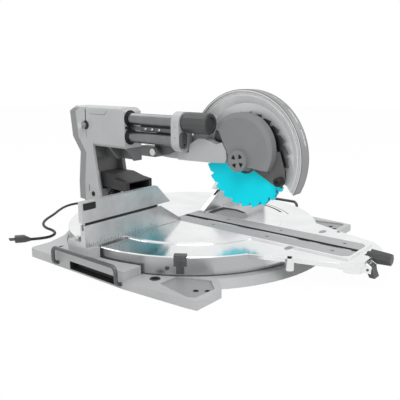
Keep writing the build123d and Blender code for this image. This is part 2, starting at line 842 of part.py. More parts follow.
with BuildPart() as stop_plug:
    rod_x(post_left - 1, post_left + 8, [stop_spot], stop_radius)
    with BuildSketch(Plane.YZ.offset(post_left - 1)):
        with Locations(stop_spot):
            RegularPolygon(3, 6)
    extrude(amount=4, mode=Mode.SUBTRACT)
save(stop_plug, "stop_plug")

with BuildPart() as rail_bushes:
    for start in bush_starts:
        rod_y(start, start + bush_length, rail_spots, rail_radius + bush_wall)
    rod_y(housing_front, housing_rear, rail_spots, rail_radius + running_fit, Mode.SUBTRACT)
save(rail_bushes, "rail_bushes")

with BuildPart() as wiper_rings:
    rod_y(housing_front - wiper_length, housing_front, rail_spots, rail_radius + wiper_wall)
    rod_y(housing_front - wiper_length - 1, housing_front + 1, rail_spots,
          rail_radius + running_fit * 2, Mode.SUBTRACT)
save(wiper_rings, "wiper_rings")

with BuildPart() as slide_lock_screw:
    rod_x(post_left - 14, bar_x[0] - turn_gap, [(lock_screw_y, lock_screw_z)], lock_screw_radius)
    rod_x(post_left - 22, post_left - 8, [(lock_screw_y, lock_screw_z)], lock_screw_radius + 3.5)
    rod_z(lock_screw_z - 12, lock_screw_z + 12, [(post_left - 15, lock_screw_y)], 2.4)
save(slide_lock_screw, "slide_lock_screw")

# Dust chute in front of the post, an open duct facing the blade
chute_rear = post_front + 34
chute_profile = [
    (chute_front, chute_bottom),
    (chute_front, chute_top),
    (post_front - 30, chute_top + 16),
    (chute_rear, chute_top + 16),
    (chute_rear, chute_bottom + 6),
]
chute_bore = [
    (chute_front - 1, chute_bottom + chute_wall),
    (chute_front - 1, chute_top - chute_wall),
    (post_front - 30, chute_top + 16 - chute_wall),
    (chute_rear - 6, chute_top + 16 - chute_wall),
    (chute_rear - 6, chute_bottom + 6 + chute_wall),
]
chute_neck = min(chute_half_width, post_right - 12 - turn_gap, -post_left - 12 - turn_gap)
with BuildPart() as dust_chute:
    slab_x(-chute_neck, chute_neck, chute_profile)
    slab_x(-chute_neck + chute_wall, chute_neck - chute_wall, chute_bore, Mode.SUBTRACT)
    for side in sides:
        flare_x = sorted((side * (chute_neck - 1), side * chute_half_width))
        flare = [
            (chute_front, chute_bottom + 3), (chute_front, chute_top),
            (chute_front + 50, chute_top + 6), (chute_front + 50, chute_bottom + 6),
        ]
        slab_x(flare_x[0], flare_x[1], flare)
save(dust_chute, "dust_chute")

# Slide rails: two tubes fixed in the front bracket
with BuildPart() as slide_rails:
    rod_y(rail_front, rail_rear, rail_spots, rail_radius)
    rod_y(rail_front - 1, rail_rear + 1, rail_spots, rail_bore, Mode.SUBTRACT)
save(slide_rails, "slide_rails")

with BuildPart() as slide_bar:
    block(bar_x, (bracket_rear, rail_rear), bar_z)
save(slide_bar, "slide_bar")

bracket_top = rail_upper_z + bracket_radius
bracket_bottom = rail_lower_z - bracket_radius
web_left = rail_x + rail_radius + 4
web_right = web_left + web_thickness
web_profile = [
    (bracket_rear - 2, bracket_bottom + 10),
    (head_pivot_y - 30, head_pivot_z - 6),
    (web_rear, head_pivot_z - 12),
    (web_rear, head_pivot_z + 30),
    (web_rear - 20, rail_upper_z),
    (bracket_rear - 2, bracket_top - 12),
]
with BuildPart() as front_bracket:
    with BuildSketch(Plane.XZ.offset(-bracket_front)):
        with Locations((rail_x, (rail_upper_z + rail_lower_z) / 2)):
            SlotOverall(rail_spacing + 2 * bracket_radius, 2 * bracket_radius, rotation=90)
    extrude(amount=bracket_front - bracket_rear)
    slab_x(web_left, web_right, web_profile)
    rod_x(web_left - 16, web_right, [head_pivot], head_barrel_radius)
    block((web_left - 16, web_right), (head_pivot_y - 4, hinge_block_rear),
          (head_pivot_z - hinge_block_half, head_pivot_z + hinge_block_half))
    rod_y(rail_front, bracket_rear + 1, rail_spots, rail_radius + seat_fit, Mode.SUBTRACT)
    rod_y(bracket_front - 1, rail_front + 1, [rail_spots[0]], grip_stud_radius + running_fit,
          Mode.SUBTRACT)
    rod_x(web_left - 17, web_right + 1, [head_pivot], head_pin_radius + seat_fit, Mode.SUBTRACT)
    rod_y(bracket_front - 1, rail_front - 0.2, [(latch_x, latch_z)], 4 + running_fit,
          Mode.SUBTRACT)
    rod_x(web_left - 1, web_right + 1, [(40, 275), (80, 275), (60, 250)], 9, Mode.SUBTRACT)
save(front_bracket, "front_bracket")

with BuildPart() as lock_grip:
    rod_y(bracket_front - turn_gap, bracket_rear + 20, [rail_spots[0]], grip_stud_radius)
    with BuildSketch(Plane.XZ.offset(-bracket_front + turn_gap)):
        with Locations(rail_spots[0]):
            Circle(grip_radius - 4)
    extrude(amount=8)
    with BuildSketch(Plane.XZ.offset(-bracket_front + turn_gap + 8)):
        with Locations(rail_spots[0]):
            RegularPolygon(grip_radius, 12)
    extrude(amount=bracket_front - turn_gap - 8 - grip_end)
    fillet(lock_grip.faces().sort_by(Axis.Y)[0].edges(), 4)
    rod_y(grip_end - 1, grip_end + 4, [rail_spots[0]], grip_radius - 9, Mode.SUBTRACT)
save(lock_grip, "lock_grip")

with BuildPart() as latch_lever:
    with BuildSketch(Plane.XZ.offset(-bracket_front + turn_gap)):
        with Locations((latch_x, latch_z + 10)):
            SlotOverall(38, 18, rotation=90)
    extrude(amount=9)
    rod_y(bracket_front - turn_gap, rail_front - 0.5, [(latch_x, latch_z)], 4)
    with BuildSketch(Plane.XZ.offset(-bracket_front + turn_gap + 9)):
        with Locations((latch_x, latch_z)):
            RegularPolygon(4, 6)
    extrude(amount=-5, mode=Mode.SUBTRACT)
save(latch_lever, "latch_lever")

pin_left = web_left - 16
barrel_left = web_right + turn_gap + 1
barrel_right = barrel_left + 32
with BuildPart() as head_pin:
    rod_x(pin_left - 6, pin_left, [head_pivot], 9)
    rod_x(pin_left, barrel_right + 8, [head_pivot], head_pin_radius)
save(head_pin, "head_pin")

with BuildPart() as head_pin_nut:
    with BuildSketch(Plane.YZ.offset(barrel_right + turn_gap)):
        with Locations(head_pivot):
            RegularPolygon(10, 6)
            Circle(head_pin_radius + seat_fit, mode=Mode.SUBTRACT)
    extrude(amount=6)
save(head_pin_nut, "head_pin_nut")

# Head arm: hinge barrel, beam, yoke, a left arm to the hub and a right plate to the gear case
yoke_rear = 22.0
guard_middle = (blade_y + guard_shift_y, blade_z + guard_shift_z)
yoke_front = guard_middle[0] + guard_radius + 1.1
beam_top = bracket_bottom + 4
left_arm_right = cover_right
plate_left = guard_right
left_arm = [
    (yoke_front + 2, 206), (yoke_front + 2, bracket_bottom - 1), (-13, bracket_bottom - 1),
    (-17, 247), (-42, 262), (-62, 263), (-96, 252), (-112, 258), (-124, 240),
    (-126, 222), (-122, 211), (-77, 208),
]
right_plate = [
    (yoke_rear, 206), (yoke_rear, 228), (-40, 268), (-86, 285), (-130, 286), (-170, 268),
    (-212, 232), (-206, 196), (-172, 174), (-134, 180), (-80, 206),
]
with BuildPart() as head_arm:
    rod_x(barrel_left, barrel_right, [head_pivot], head_barrel_radius)
    slab_x(barrel_left, barrel_right, [
        (head_pivot_y, head_pivot_z - 13), (head_pivot_y, head_pivot_z + 13), (70, 250),
        (40, 262), (yoke_front, 264), (yoke_front, 206), (60, 203),
    ])
    slab_x(cover_left + 2, gear_case_left, [
        (yoke_rear, 206), (yoke_rear, bracket_bottom - 1), (yoke_front, bracket_bottom - 1),
        (yoke_front, 206),
    ])
    slab_x(cover_left + 2, left_arm_right, left_arm)
    slab_x(plate_left, gear_case_left, right_plate)
    rod_x(8, gear_case_left, [arbor], arbor_boss_radius)
    rod_x(barrel_left - 1, barrel_right + 1, [head_pivot], head_pin_radius + running_fit,
          Mode.SUBTRACT)
    rod_x(7, gear_case_left + 1, [arbor], arbor_radius + 2, Mode.SUBTRACT)
    rod_x(7, 20, [arbor], 20 + seat_fit, Mode.SUBTRACT)
    rod_x(28, gear_case_left + 1, [arbor], 20 + seat_fit, Mode.SUBTRACT)
save(head_arm, "head_arm")

# Upper guard: a dished drum open at the left, with ridges, vent slots and a back flange
guard_hole = arbor_boss_radius + 10
shelf_left = guard_left + 5
guard_rings = [
    (guard_left, guard_right, guard_radius - guard_wall, guard_radius),
    (shelf_left, shelf_left + guard_wall, guard_dish - 1, guard_radius - 1),
    (guard_wall_left, guard_wall_left + guard_wall, guard_hole / 2, guard_shelf + 1),
    (shelf_left - guard_ridge, shelf_left + 1, guard_radius - 13, guard_radius - 11),
    (shelf_left - guard_ridge, shelf_left + 1, guard_radius - 9, guard_radius - 7),
    (guard_right - guard_wall, guard_right, guard_radius - guard_flange, guard_radius),
]
with BuildPart() as upper_guard:
    for left, right, inner, outer in guard_rings:
        ring_slab_x(left, right, inner, outer, guard_rear_angle, guard_front_angle,
                    middle_spot=guard_middle)
    turned_ring_x([
        (shelf_left, guard_dish), (guard_wall_left, guard_shelf),
        (guard_wall_left + guard_wall, guard_shelf), (shelf_left + guard_wall, guard_dish),
    ], guard_rear_angle, guard_front_angle, guard_middle)
    for slot_start in (112, 132, 152):
        ring_slab_x(guard_right - 13, guard_right - 7, guard_radius - guard_wall - 1, guard_radius + 1,
                    slot_start, slot_start + 15, Mode.SUBTRACT, guard_middle)
    rod_x(shelf_left - 1, guard_right - guard_wall - 1, [arbor], guard_hole, Mode.SUBTRACT)
save(upper_guard, "upper_guard")

# Hub cover: an oval shell left of the blade with a round nose over the arbor bolt
cover_middle = (blade_y + 0.6, blade_z + 24.3)
cover_radius = 82.5
cover_floor = [
    (-300, 240), (-262, 226), (-249, 214), (-234, 203), (-195, 207), (-100, 207), (-100, 120),
    (-300, 120),
]
cover_rear = [(-96, 301), (-131, 230), (-131, 150), (-40, 150), (-40, 340), (-96, 340)]
hub_radius = 24.0
with BuildPart() as hub_cover:
    rod_x(cover_left, cover_right, [cover_middle], cover_radius)
    chamfer(hub_cover.faces().sort_by(Axis.X)[0].edges(), 4, 11)
    slab_x(cover_left - 1, cover_right + 1, cover_floor, Mode.SUBTRACT)
    slab_x(cover_left - 1, cover_right + 1, cover_rear, Mode.SUBTRACT)
    rod_x(hub_cap_left, cover_right, [arbor], hub_radius)
    with BuildSketch(Plane.YZ.offset(cover_left + cover_wall + 1)):
        with Locations(cover_middle):
            Circle(cover_radius - 2 * cover_wall - 8)
        with BuildLine():
            Polyline(*[(y, z + cover_wall) for y, z in cover_floor], close=True)
        make_face(mode=Mode.SUBTRACT)
        with BuildLine():
            Polyline(*[(y - cover_wall, z) for y, z in cover_rear], close=True)
        make_face(mode=Mode.SUBTRACT)
    extrude(amount=cover_right - cover_left, mode=Mode.SUBTRACT)
    rod_x(hub_cap_left + cover_wall, cover_right + 1, [arbor], hub_radius - cover_wall,
          Mode.SUBTRACT)
    with BuildSketch(Plane.YZ.offset(hub_cap_left - 1)) as hub_holes:
        with Locations(arbor):
            with PolarLocations(12.5, 4, start_angle=35):
                RegularPolygon(8, 3, rotation=180)
        fillet(hub_holes.vertices(), 2)
    extrude(amount=cover_wall + 2, mode=Mode.SUBTRACT)
    slab_x(cover_left - 1, cover_right + 1, [
        (yoke_front, 190), (yoke_front, 265), (-62, 265), (-95, 255), (-111, 260),
        (-127, 242), (-129, 222), (-125, 190),
    ], Mode.SUBTRACT)
save(hub_cover, "hub_cover")

link_left = cover_right
link_right = cover_right + link_plate_thickness
with BuildPart() as link_plate:
    slab_x(link_left, link_right, [
        (-180, 202), (-243, 170), (-260, 169), (-268, 180), (-266, 205), (-252, 246), (-200, 246),
    ])
    rod_x(link_left - 1, link_right + 1, [(bumper_y, bumper_z)], 3 + seat_fit, Mode.SUBTRACT)
    rod_x(link_left - 1, link_right + 1, [arbor], flange_radius + 2, Mode.SUBTRACT)
save(link_plate, "link_plate")

with BuildPart() as guard_bumper:
    rod_x(link_left - 17, link_left, [(bumper_y, bumper_z)], bumper_radius)
    fillet(guard_bumper.faces().sort_by(Axis.X)[0].edges(), 2)
    rod_x(link_left - 18, link_left - 14, [(bumper_y, bumper_z)], 4, Mode.SUBTRACT)
    rod_x(link_left, link_right, [(bumper_y, bumper_z)], 3)
save(guard_bumper, "guard_bumper")

# Blade and lower guard share one tooth outline, so the guard's notches lie over the gullets
tooth_pitch = 360 / blade_teeth


def tooth_outline(tip_radius):
    """Tip, face, gullet and back points of each tooth, round the blade axis."""
    points = []
    for index in range(blade_teeth):
        for drop, share in ((0.0, 0.0), (1.0, 0.05), (1.0, 0.2), (0.45, 0.34)):
            radius = tip_radius - drop * tooth_depth
            turn = radians(blade_phase + (index + share) * tooth_pitch)
            points.append((blade_y + radius * cos(turn), blade_z + radius * sin(turn)))
    return points


# Lower guard: two toothed plates joined at their tips, turning on the arbor boss
lower_guard_radius = blade_radius + lower_guard_cover
guard_plate = lower_guard_half - lower_guard_wall
with BuildPart() as lower_guard:
    slab_x(-lower_guard_half, lower_guard_half, tooth_outline(lower_guard_radius))
    rod_x(-guard_plate, guard_plate, [arbor], lower_guard_radius - lower_guard_rim, Mode.SUBTRACT)
    ring_slab_x(-lower_guard_half - 1, lower_guard_half + 1, 5, lower_guard_radius + 10,
                lower_guard_rear_angle - 360, lower_guard_front_angle, Mode.SUBTRACT)
    rod_x(-lower_guard_half - 1, lower_guard_half + 1, [arbor], arbor_boss_radius + 2,
          Mode.SUBTRACT)
    rod_x(guard_plate, lower_guard_half + 9, [arbor], arbor_boss_radius + 6)
    rod_x(guard_plate - 1, lower_guard_half + 10, [arbor], arbor_boss_radius + running_fit,
          Mode.SUBTRACT)
save(lower_guard, "lower_guard")

# Blade and arbor
half_blade = blade_thickness / 2
with BuildPart() as blade:
    slab_x(-half_blade, half_blade, tooth_outline(blade_radius))
    rod_x(-half_blade - 1, half_blade + 1, [arbor], blade_bore + seat_fit, Mode.SUBTRACT)
save(blade, "blade")

flange_length = 3.6
with BuildPart() as blade_flanges:
    rod_x(-half_blade - flange_length, -half_blade, [arbor], flange_radius)
    rod_x(half_blade, half_blade + flange_length, [arbor], flange_radius)
    rod_x(-half_blade - 5, -half_blade + 1, [arbor], 8 + seat_fit, Mode.SUBTRACT)
    rod_x(half_blade - 1, half_blade + 5, [arbor], arbor_radius + seat_fit, Mode.SUBTRACT)
save(blade_flanges, "blade_flanges")

with BuildPart() as arbor_shaft:
    rod_x(-half_blade - flange_length + 0.4, -half_blade, [arbor], 8)
    rod_x(-half_blade, half_blade, [arbor], blade_bore)
    rod_x(half_blade, gear_right + 1.5, [arbor], arbor_radius)
    rod_x(-half_blade - flange_length, half_blade + 14, [arbor], 4 + seat_fit, Mode.SUBTRACT)
save(arbor_shaft, "arbor_shaft")

with BuildPart() as arbor_bolt:
    rod_x(-half_blade - flange_length, half_blade + 12, [arbor], 4)
    with BuildSketch(Plane.YZ.offset(-half_blade - flange_length)):
        with Locations(arbor):
            RegularPolygon(9, 6)
    extrude(amount=-7)
save(arbor_bolt, "arbor_bolt")

with BuildPart() as arbor_bearings:
    rod_x(8.5, 20, [arbor], 20)
    rod_x(28.5, gear_case_left, [arbor], 20)
    rod_x(8, gear_case_left + 1, [arbor], arbor_radius + running_fit, Mode.SUBTRACT)
save(arbor_bearings, "arbor_bearings")


def gear_outline(teeth, centre, phase):
    """Straight-flanked tooth outline round (y, z) centre, thinned by the backlash."""
    pitch_radius = gear_module * teeth / 2
    outer = pitch_radius + 0.8 * gear_module
    root = pitch_radius - 1.25 * gear_module
    step = 360 / teeth
    thin = degrees(gear_backlash / pitch_radius)
    points = []
    for index in range(teeth):
        middle = phase + index * step
        for radius, half in ((root, 0.36), (outer, 0.10), (outer, -0.10), (root, -0.36)):
            turn = radians(middle - half * step + (thin / 2 if half > 0 else -thin / 2))
            points.append((centre[0] + radius * cos(turn), centre[1] + radius * sin(turn)))
    return points


gear_centres = gear_module * (pinion_teeth + wheel_teeth) / 2 + 0.2
motor = (
    blade_y + gear_centres * cos(radians(gear_angle)),
    blade_z + gear_centres * sin(radians(gear_angle)),
)
with BuildPart() as drive_gear:
    slab_x(gear_left, gear_right, gear_outline(wheel_teeth, arbor, gear_angle))
    rod_x(gear_left - 1, gear_right + 1, [arbor], arbor_radius + seat_fit, Mode.SUBTRACT)
save(drive_gear, "drive_gear")

pinion_phase = gear_angle + 180 + 180 / pinion_teeth
with BuildPart() as armature:
    slab_x(gear_left, gear_right, gear_outline(pinion_teeth, motor, pinion_phase))
    rod_x(gear_case_left + 3, motor_end - 2, [motor], armature_shaft_radius)
    rod_x(gear_case_right + 14, gear_case_right + 54, [motor], 23)
    rod_x(gear_case_right + 58, gear_case_right + 70, [motor], 13)
save(armature, "armature")

# Gear case and motor
wheel_room = gear_module * wheel_teeth / 2 + 4
pinion_room = gear_module * pinion_teeth / 2 + 5
with BuildPart() as gear_case:
    with BuildSketch(Plane.YZ.offset(gear_case_left)):
        with Locations(arbor):
            Circle(wheel_room + 5)
        with Locations(motor):
            Circle(motor_radius)
        make_hull()
    extrude(amount=gear_case_right - gear_case_left)
    rod_x(gear_case_left - 1, gear_right + 2, [arbor], wheel_room, Mode.SUBTRACT)
    rod_x(gear_case_left - 1, gear_right + 2, [motor], pinion_room, Mode.SUBTRACT)
    rod_x(gear_right, gear_case_right + 1, [motor], armature_shaft_radius + running_fit,
          Mode.SUBTRACT)
save(gear_case, "gear_case")

with BuildPart() as motor_housing:
    rod_x(gear_case_right, motor_end, [motor], motor_radius)
    rod_x(gear_case_right - 1, motor_end + 1, [motor], motor_radius - motor_wall, Mode.SUBTRACT)
save(motor_housing, "motor_housing")

with BuildPart() as motor_stator:
    rod_x(gear_case_right + 10, gear_case_right + 56, [motor], motor_radius - motor_wall - seat_fit)
    rod_x(gear_case_right + 9, gear_case_right + 57, [motor], 25, Mode.SUBTRACT)
save(motor_stator, "motor_stator")

with BuildPart() as motor_end_cap:
    rod_x(motor_end, motor_end + end_cap_length, [motor], motor_radius)
    fillet(motor_end_cap.faces().sort_by(Axis.X)[-1].edges(), 6)
    rod_x(motor_end - 12, motor_end + 2, [motor], motor_radius - motor_wall - seat_fit)
    rod_x(motor_end - 13, motor_end, [motor], 16, Mode.SUBTRACT)
    with BuildSketch(Plane.YZ.offset(motor_end + end_cap_length)):
        with Locations(motor):
            with PolarLocations(24, 8):
                SlotOverall(16, 4)
    extrude(amount=-end_cap_length - 13, mode=Mode.SUBTRACT)
    rod_x(motor_end - 13, motor_end, [motor], armature_shaft_radius + running_fit, Mode.SUBTRACT)
save(motor_end_cap, "motor_end_cap")

brush_x = gear_case_right + 64
with BuildPart() as brush_caps:
    for direction in sides:
        rod_z(
            motor[1] + direction * (motor_radius - 2),
            motor[1] + direction * (motor_radius + 3),
            [(brush_x, motor[0])],
            6,
        )
    rod_x(brush_x - 8, brush_x + 8, [motor], motor_radius + seat_fit, Mode.SUBTRACT)
save(brush_caps, "brush_caps")

# Handle: a closed loop on the motor, with a trigger under the bar and a side button
handle_foot = motor[1] + motor_radius - 14
bar_bottom = handle_top - handle_bar
trigger_y = (-118.0, -92.0)
button_spot = (-76.0, bar_bottom + handle_bar / 2)
handle_x = (handle_left, handle_right)
handle_middle = (handle_left + handle_right) / 2
trigger_x = (handle_middle - 6, handle_middle + 6)
with BuildPart() as handle:
    slab_x(handle_left, handle_right, [
        (handle_front, handle_foot), (handle_front, handle_top - 8),
        (handle_front + 8, handle_top), (handle_rear - 8, handle_top),
        (handle_rear, handle_top - 8), (handle_rear, handle_foot),
    ])
    fillet(handle.edges().filter_by(Axis.Y), 5)
    block(
        (handle_left - 1, handle_right + 1),
        (handle_front + handle_leg, handle_rear - handle_leg),
        (motor[1] + motor_radius + 3, bar_bottom),
        Mode.SUBTRACT,
    )
    rod_x(handle_left - 1, handle_right + 1, [motor], motor_radius + seat_fit, Mode.SUBTRACT)
    block(
        (trigger_x[0] - turn_gap, trigger_x[1] + turn_gap),
        (trigger_y[0] - turn_gap, trigger_y[1] + turn_gap),
        (bar_bottom - 1, bar_bottom + 13),
        Mode.SUBTRACT,
    )
    rod_x(handle_right - 12, handle_right + 1, [button_spot], 5 + running_fit, Mode.SUBTRACT)
save(handle, "handle")

with BuildPart() as trigger:
    slab_x(trigger_x[0], trigger_x[1], [
        (trigger_y[0], bar_bottom + 8), (trigger_y[1], bar_bottom + 8),
        (trigger_y[1], bar_bottom - 5), (trigger_y[0] + 6, bar_bottom - 7),
        (trigger_y[0], bar_bottom - 4),
    ])
save(trigger, "trigger")

with BuildPart() as lock_off_button:
    rod_x(handle_right - 7, handle_right + 4, [button_spot], 5)
    fillet(lock_off_button.faces().sort_by(Axis.X)[-1].edges(), 1)
save(lock_off_button, "lock_off_button")

# Supply cord: gland in the base ring, a loose S on the floor, moulded plug
gland_out = Vector(cos(radians(gland_angle)), sin(radians(gland_angle)), 0)
gland_length = 34.0
cord_z = cord_radius + 3.5
with BuildPart() as cord_gland:
    with BuildSketch(gland_plane.offset(base_ring_inner + 20)):
        Circle(6)
    extrude(amount=base_ring_radius - base_ring_inner - 20 + 4)
    with BuildSketch(gland_plane.offset(base_ring_radius + 4)):
        Circle(7.5)
    with BuildSketch(gland_plane.offset(base_ring_radius + gland_length)):
        Circle(cord_radius + 1)
    loft()
save(cord_gland, "cord_gland")

cord_start = gland_out * (base_ring_radius + gland_length) + Vector(0, 0, cord_z)
cord_points = [
    cord_start,
    gland_out * (base_ring_radius + gland_length + 44) + Vector(0, 0, cord_z),
    Vector(92, 462, 4.4),
    Vector(84, 508, 3.7),
    Vector(48, 535, 3.7),
    Vector(4, 530, 3.7),
    Vector(-42, 503, 3.7),
    Vector(-84, 470, 3.7),
    Vector(-128, 444, 3.7),
    Vector(-164, 412, 3.7),
    Vector(-186, 370, 3.7),
    Vector(-188, 326, 3.7),
    Vector(-206, 294, 3.7),
    Vector(-241, 284, 3.7),
    Vector(-278, 299, 6.5),
]


def bend_radii(points):
    """The largest tangent arc that each corner of a route has room for."""
    radii = []
    for before, corner, after in zip(points, points[1:], points[2:]):
        run_in = corner - before
        run_out = after - corner
        turn = radians(run_in.get_angle(run_out))
        radii.append(0.45 * min(run_in.length, run_out.length) / tan(turn / 2))
    return radii


cord_radii = bend_radii(cord_points)
print("cord bend radii", [round(radius, 1) for radius in cord_radii])
cord_direction = (cord_points[1] - cord_points[0]).normalized()
with BuildPart() as cord:
    with BuildLine() as cord_route:
        FilletPolyline(*cord_points, radius=cord_radii)
    with BuildSketch(Plane(origin=cord_points[0], z_dir=cord_direction)):
        Circle(cord_radius)
    sweep()
cord_length = cord_route.wires()[0].length
print("cord length", round(cord_length, 1), "volume share",
      round(cord.part.volume / (pi * cord_radius**2 * cord_length), 4))
save(cord, "cord")

plug_direction = (cord_points[-1] - cord_points[-2]).normalized()
plug_plane = Plane(origin=cord_points[-1], x_dir=Vector(0, 0, 1).cross(plug_direction),
                   z_dir=plug_direction)
with BuildPart() as plug:
    with BuildSketch(plug_plane):
        Circle(cord_radius + 1)
    with BuildSketch(plug_plane.offset(14)):
        with Locations((0, 3)):
            RectangleRounded(20, 17, 5)
    loft()
    with BuildSketch(plug_plane.offset(14)):
        with Locations((0, 3)):
            RectangleRounded(20, 17, 5)
    extrude(amount=22)
    with BuildSketch(plug_plane.offset(36)):
        with Locations((-6, 3), (6, 3)):
            Circle(2)
    extrude(amount=14)
save(plug, "plug")

head_drop = degrees(asin((blade_z - head_pivot_z) / (head_pivot_y - blade_y)))
print("blade arm rise at rest", round(head_drop, 2), "motor axis", [round(v, 1) for v in motor])
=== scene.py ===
import math

import bmesh
import bpy
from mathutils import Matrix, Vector


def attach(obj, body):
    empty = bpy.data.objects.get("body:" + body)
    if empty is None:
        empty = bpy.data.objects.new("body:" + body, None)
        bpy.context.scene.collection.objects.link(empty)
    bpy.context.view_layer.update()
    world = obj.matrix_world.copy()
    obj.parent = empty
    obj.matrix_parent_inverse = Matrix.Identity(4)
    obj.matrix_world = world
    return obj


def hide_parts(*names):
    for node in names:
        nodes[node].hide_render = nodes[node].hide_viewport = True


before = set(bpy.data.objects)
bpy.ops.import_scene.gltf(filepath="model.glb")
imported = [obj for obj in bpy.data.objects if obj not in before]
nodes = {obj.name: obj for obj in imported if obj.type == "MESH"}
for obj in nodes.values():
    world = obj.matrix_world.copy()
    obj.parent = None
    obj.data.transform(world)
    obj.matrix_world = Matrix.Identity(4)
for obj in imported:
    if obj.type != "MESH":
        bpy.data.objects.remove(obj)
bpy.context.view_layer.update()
scene = bpy.context.scene
scene.view_settings.view_transform = "Standard"

# Camera: stands front left of the saw at about chest height over the bench,
# where the lens sees the whole saw from the cord to the mitre grip.
camera_data = bpy.data.cameras.new("camera")
camera_data.lens = 47.496
camera_data.sensor_width = 36.0
camera_data.clip_end = 50.0
camera = bpy.data.objects.new("camera", camera_data)
scene.collection.objects.link(camera)
camera.location = (-0.98926, -0.83300, 0.40154)
azimuth, elevation = math.radians(-50.72), math.radians(13.06)
toward = Vector(
    (
        -math.sin(azimuth) * math.cos(elevation),
        math.cos(azimuth) * math.cos(elevation),
        -math.sin(elevation),
    )
)
camera.rotation_mode = "QUATERNION"
camera.rotation_quaternion = toward.to_track_quat("-Z", "Y")
scene.camera = camera


# Supply cord: black rubber sheathed flex, pushed through a gland in the base ring.
# It lies in loose bends on the bench behind the saw and ends in its moulded plug.
class Shade:
    """One socket of a material's nodes; operators on it add Math nodes."""

    def __init__(self, tree, socket=None):
        self.tree = tree
        self.socket = socket

    def node(self, kind, settings=None, inputs=None, out=0):
        made = self.tree.nodes.new(kind)
        for key, value in (settings or {}).items():
            setattr(made, key, value)
        for key, value in (inputs or {}).items():
            self.feed(made.inputs[key], value)
        return Shade(self.tree, made.outputs[out])

    def feed(self, socket, value):
        if isinstance(value, Shade):
            self.tree.links.new(value.socket, socket)
        else:
            socket.default_value = value

    def math(self, operation, *values):
        return self.node("ShaderNodeMath", {"operation": operation}, dict(enumerate(values)))

    def __add__(self, other):
        return self.math("ADD", self, other)

    def __sub__(self, other):
        return self.math("SUBTRACT", self, other)

    def __rsub__(self, other):
        return self.math("SUBTRACT", other, self)

    def __mul__(self, other):
        return self.math("MULTIPLY", self, other)

    def mix(self, first, second):
        """Colour between first and second, with this socket as the share of second."""
        return self.node(
            "ShaderNodeMix", {"data_type": "RGBA"}, {0: self, 6: first, 7: second}, out=2
        )

    def axis(self, side):
        """One of the three coordinates of this vector: 0, 1 or 2 for X, Y or Z."""
        return self.node("ShaderNodeSeparateXYZ", None, {"Vector": self}, out=side)

    def vector(self, operation, other):
        return self.node("ShaderNodeVectorMath", {"operation": operation}, {0: self, 1: other})

    def length(self):
        return self.node("ShaderNodeVectorMath", {"operation": "LENGTH"}, {0: self}, out=1)

    def stretch(self, scale):
        """This vector with each coordinate scaled on its own."""
        return self.node("ShaderNodeMapping", None, {"Vector": self, "Scale": scale})


def new_finish(name, **constants):
    """A material with a Principled shader; returns it, its shader and a first Shade."""
    material = bpy.data.materials.new(name)
    material.use_nodes = True
    tree = material.node_tree
    shader = tree.nodes["Principled BSDF"]
    for key, value in constants.items():
        shader.inputs[key.replace("_", " ")].default_value = value
    return material, shader, Shade(tree)


def place(shade):
    """Coordinates that stay with the piece, in metres of the saw's own frame."""
    return shade.node("ShaderNodeTexCoord", out=3)


def grain(shade, where, scale, detail=3.0, rough=0.55):
    """Cloudy noise from 0 to 1, with scale features to the metre."""
    return shade.node(
        "ShaderNodeTexNoise",
        {"noise_dimensions": "3D"},
        {"Vector": where, "Scale": scale, "Detail": detail, "Roughness": rough},
    )


def spread(shade, value, low, high):
    """A clamped straight map of low..high to 0..1."""
    return shade.node(
        "ShaderNodeMapRange", {"clamp": True}, {"Value": value, "From Min": low, "From Max": high}
    )


def band(shade, value, rise, fall):
    """One between two edges and zero outside; each edge is a pair that it blends over."""
    return spread(shade, value, *rise) * (1 - spread(shade, value, *fall))


def relief(shade, height, strength, distance, edge=0.0):
    """Bump from a height field, over edges rounded by the given radius."""
    inputs = {"Strength": strength, "Distance": distance, "Height": height}
    if edge:
        inputs["Normal"] = shade.node("ShaderNodeBevel", {"samples": 4}, {"Radius": edge})
    return shade.node("ShaderNodeBump", None, inputs)


def dress(shade, shader, colour, rough, normal=None):
    """Feeds a finish's colour, roughness and, where it has one, its relief."""
    shade.feed(shader.inputs["Base Color"], colour)
    shade.feed(shader.inputs["Roughness"], rough)
    if normal:
        shade.feed(shader.inputs["Normal"], normal)


def coat_nodes(material, *names):
    """Puts a finish on CAD nodes."""
    for name in names:
        if not nodes[name].material_slots:
            nodes[name].data.materials.append(material)
        for one in nodes[name].material_slots:
            one.material = material


cord_diameter = 0.0072
cord_route = [
    (0.07713, 0.36289, 0.0071),
    (0.08628, 0.40593, 0.0071),
    (0.092, 0.462, 0.0044),
    (0.084, 0.508, 0.0037),
    (0.048, 0.535, 0.0037),
    (0.004, 0.530, 0.0037),
    (-0.042, 0.503, 0.0037),
    (-0.084, 0.470, 0.0037),
    (-0.128, 0.444, 0.0037),
    (-0.164, 0.412, 0.0037),
    (-0.186, 0.370, 0.0037),
    (-0.188, 0.326, 0.0037),
    (-0.206, 0.294, 0.0037),
    (-0.241, 0.284, 0.0037),
    (-0.278, 0.299, 0.0065),
]
cord_curve = bpy.data.curves.new("supply_cord", "CURVE")
cord_curve.dimensions = "3D"
cord_line = cord_curve.splines.new("NURBS")
cord_line.points.add(len(cord_route) - 1)
for point, spot in zip(cord_line.points, cord_route):
    point.co = (*spot, 1.0)
cord_line.order_u = 3
cord_line.use_endpoint_u = True
cord_line.resolution_u = 10
cord_curve.bevel_depth = cord_diameter / 2
cord_curve.bevel_resolution = 5
supply_cord = bpy.data.objects.new("supply_cord", cord_curve)
scene.collection.objects.link(supply_cord)
rubber, shader, start = new_finish("black_rubber", Specular_IOR_Level=0.35)
where = place(start)
dust = spread(start, grain(start, where, 60.0), 0.45, 0.75)
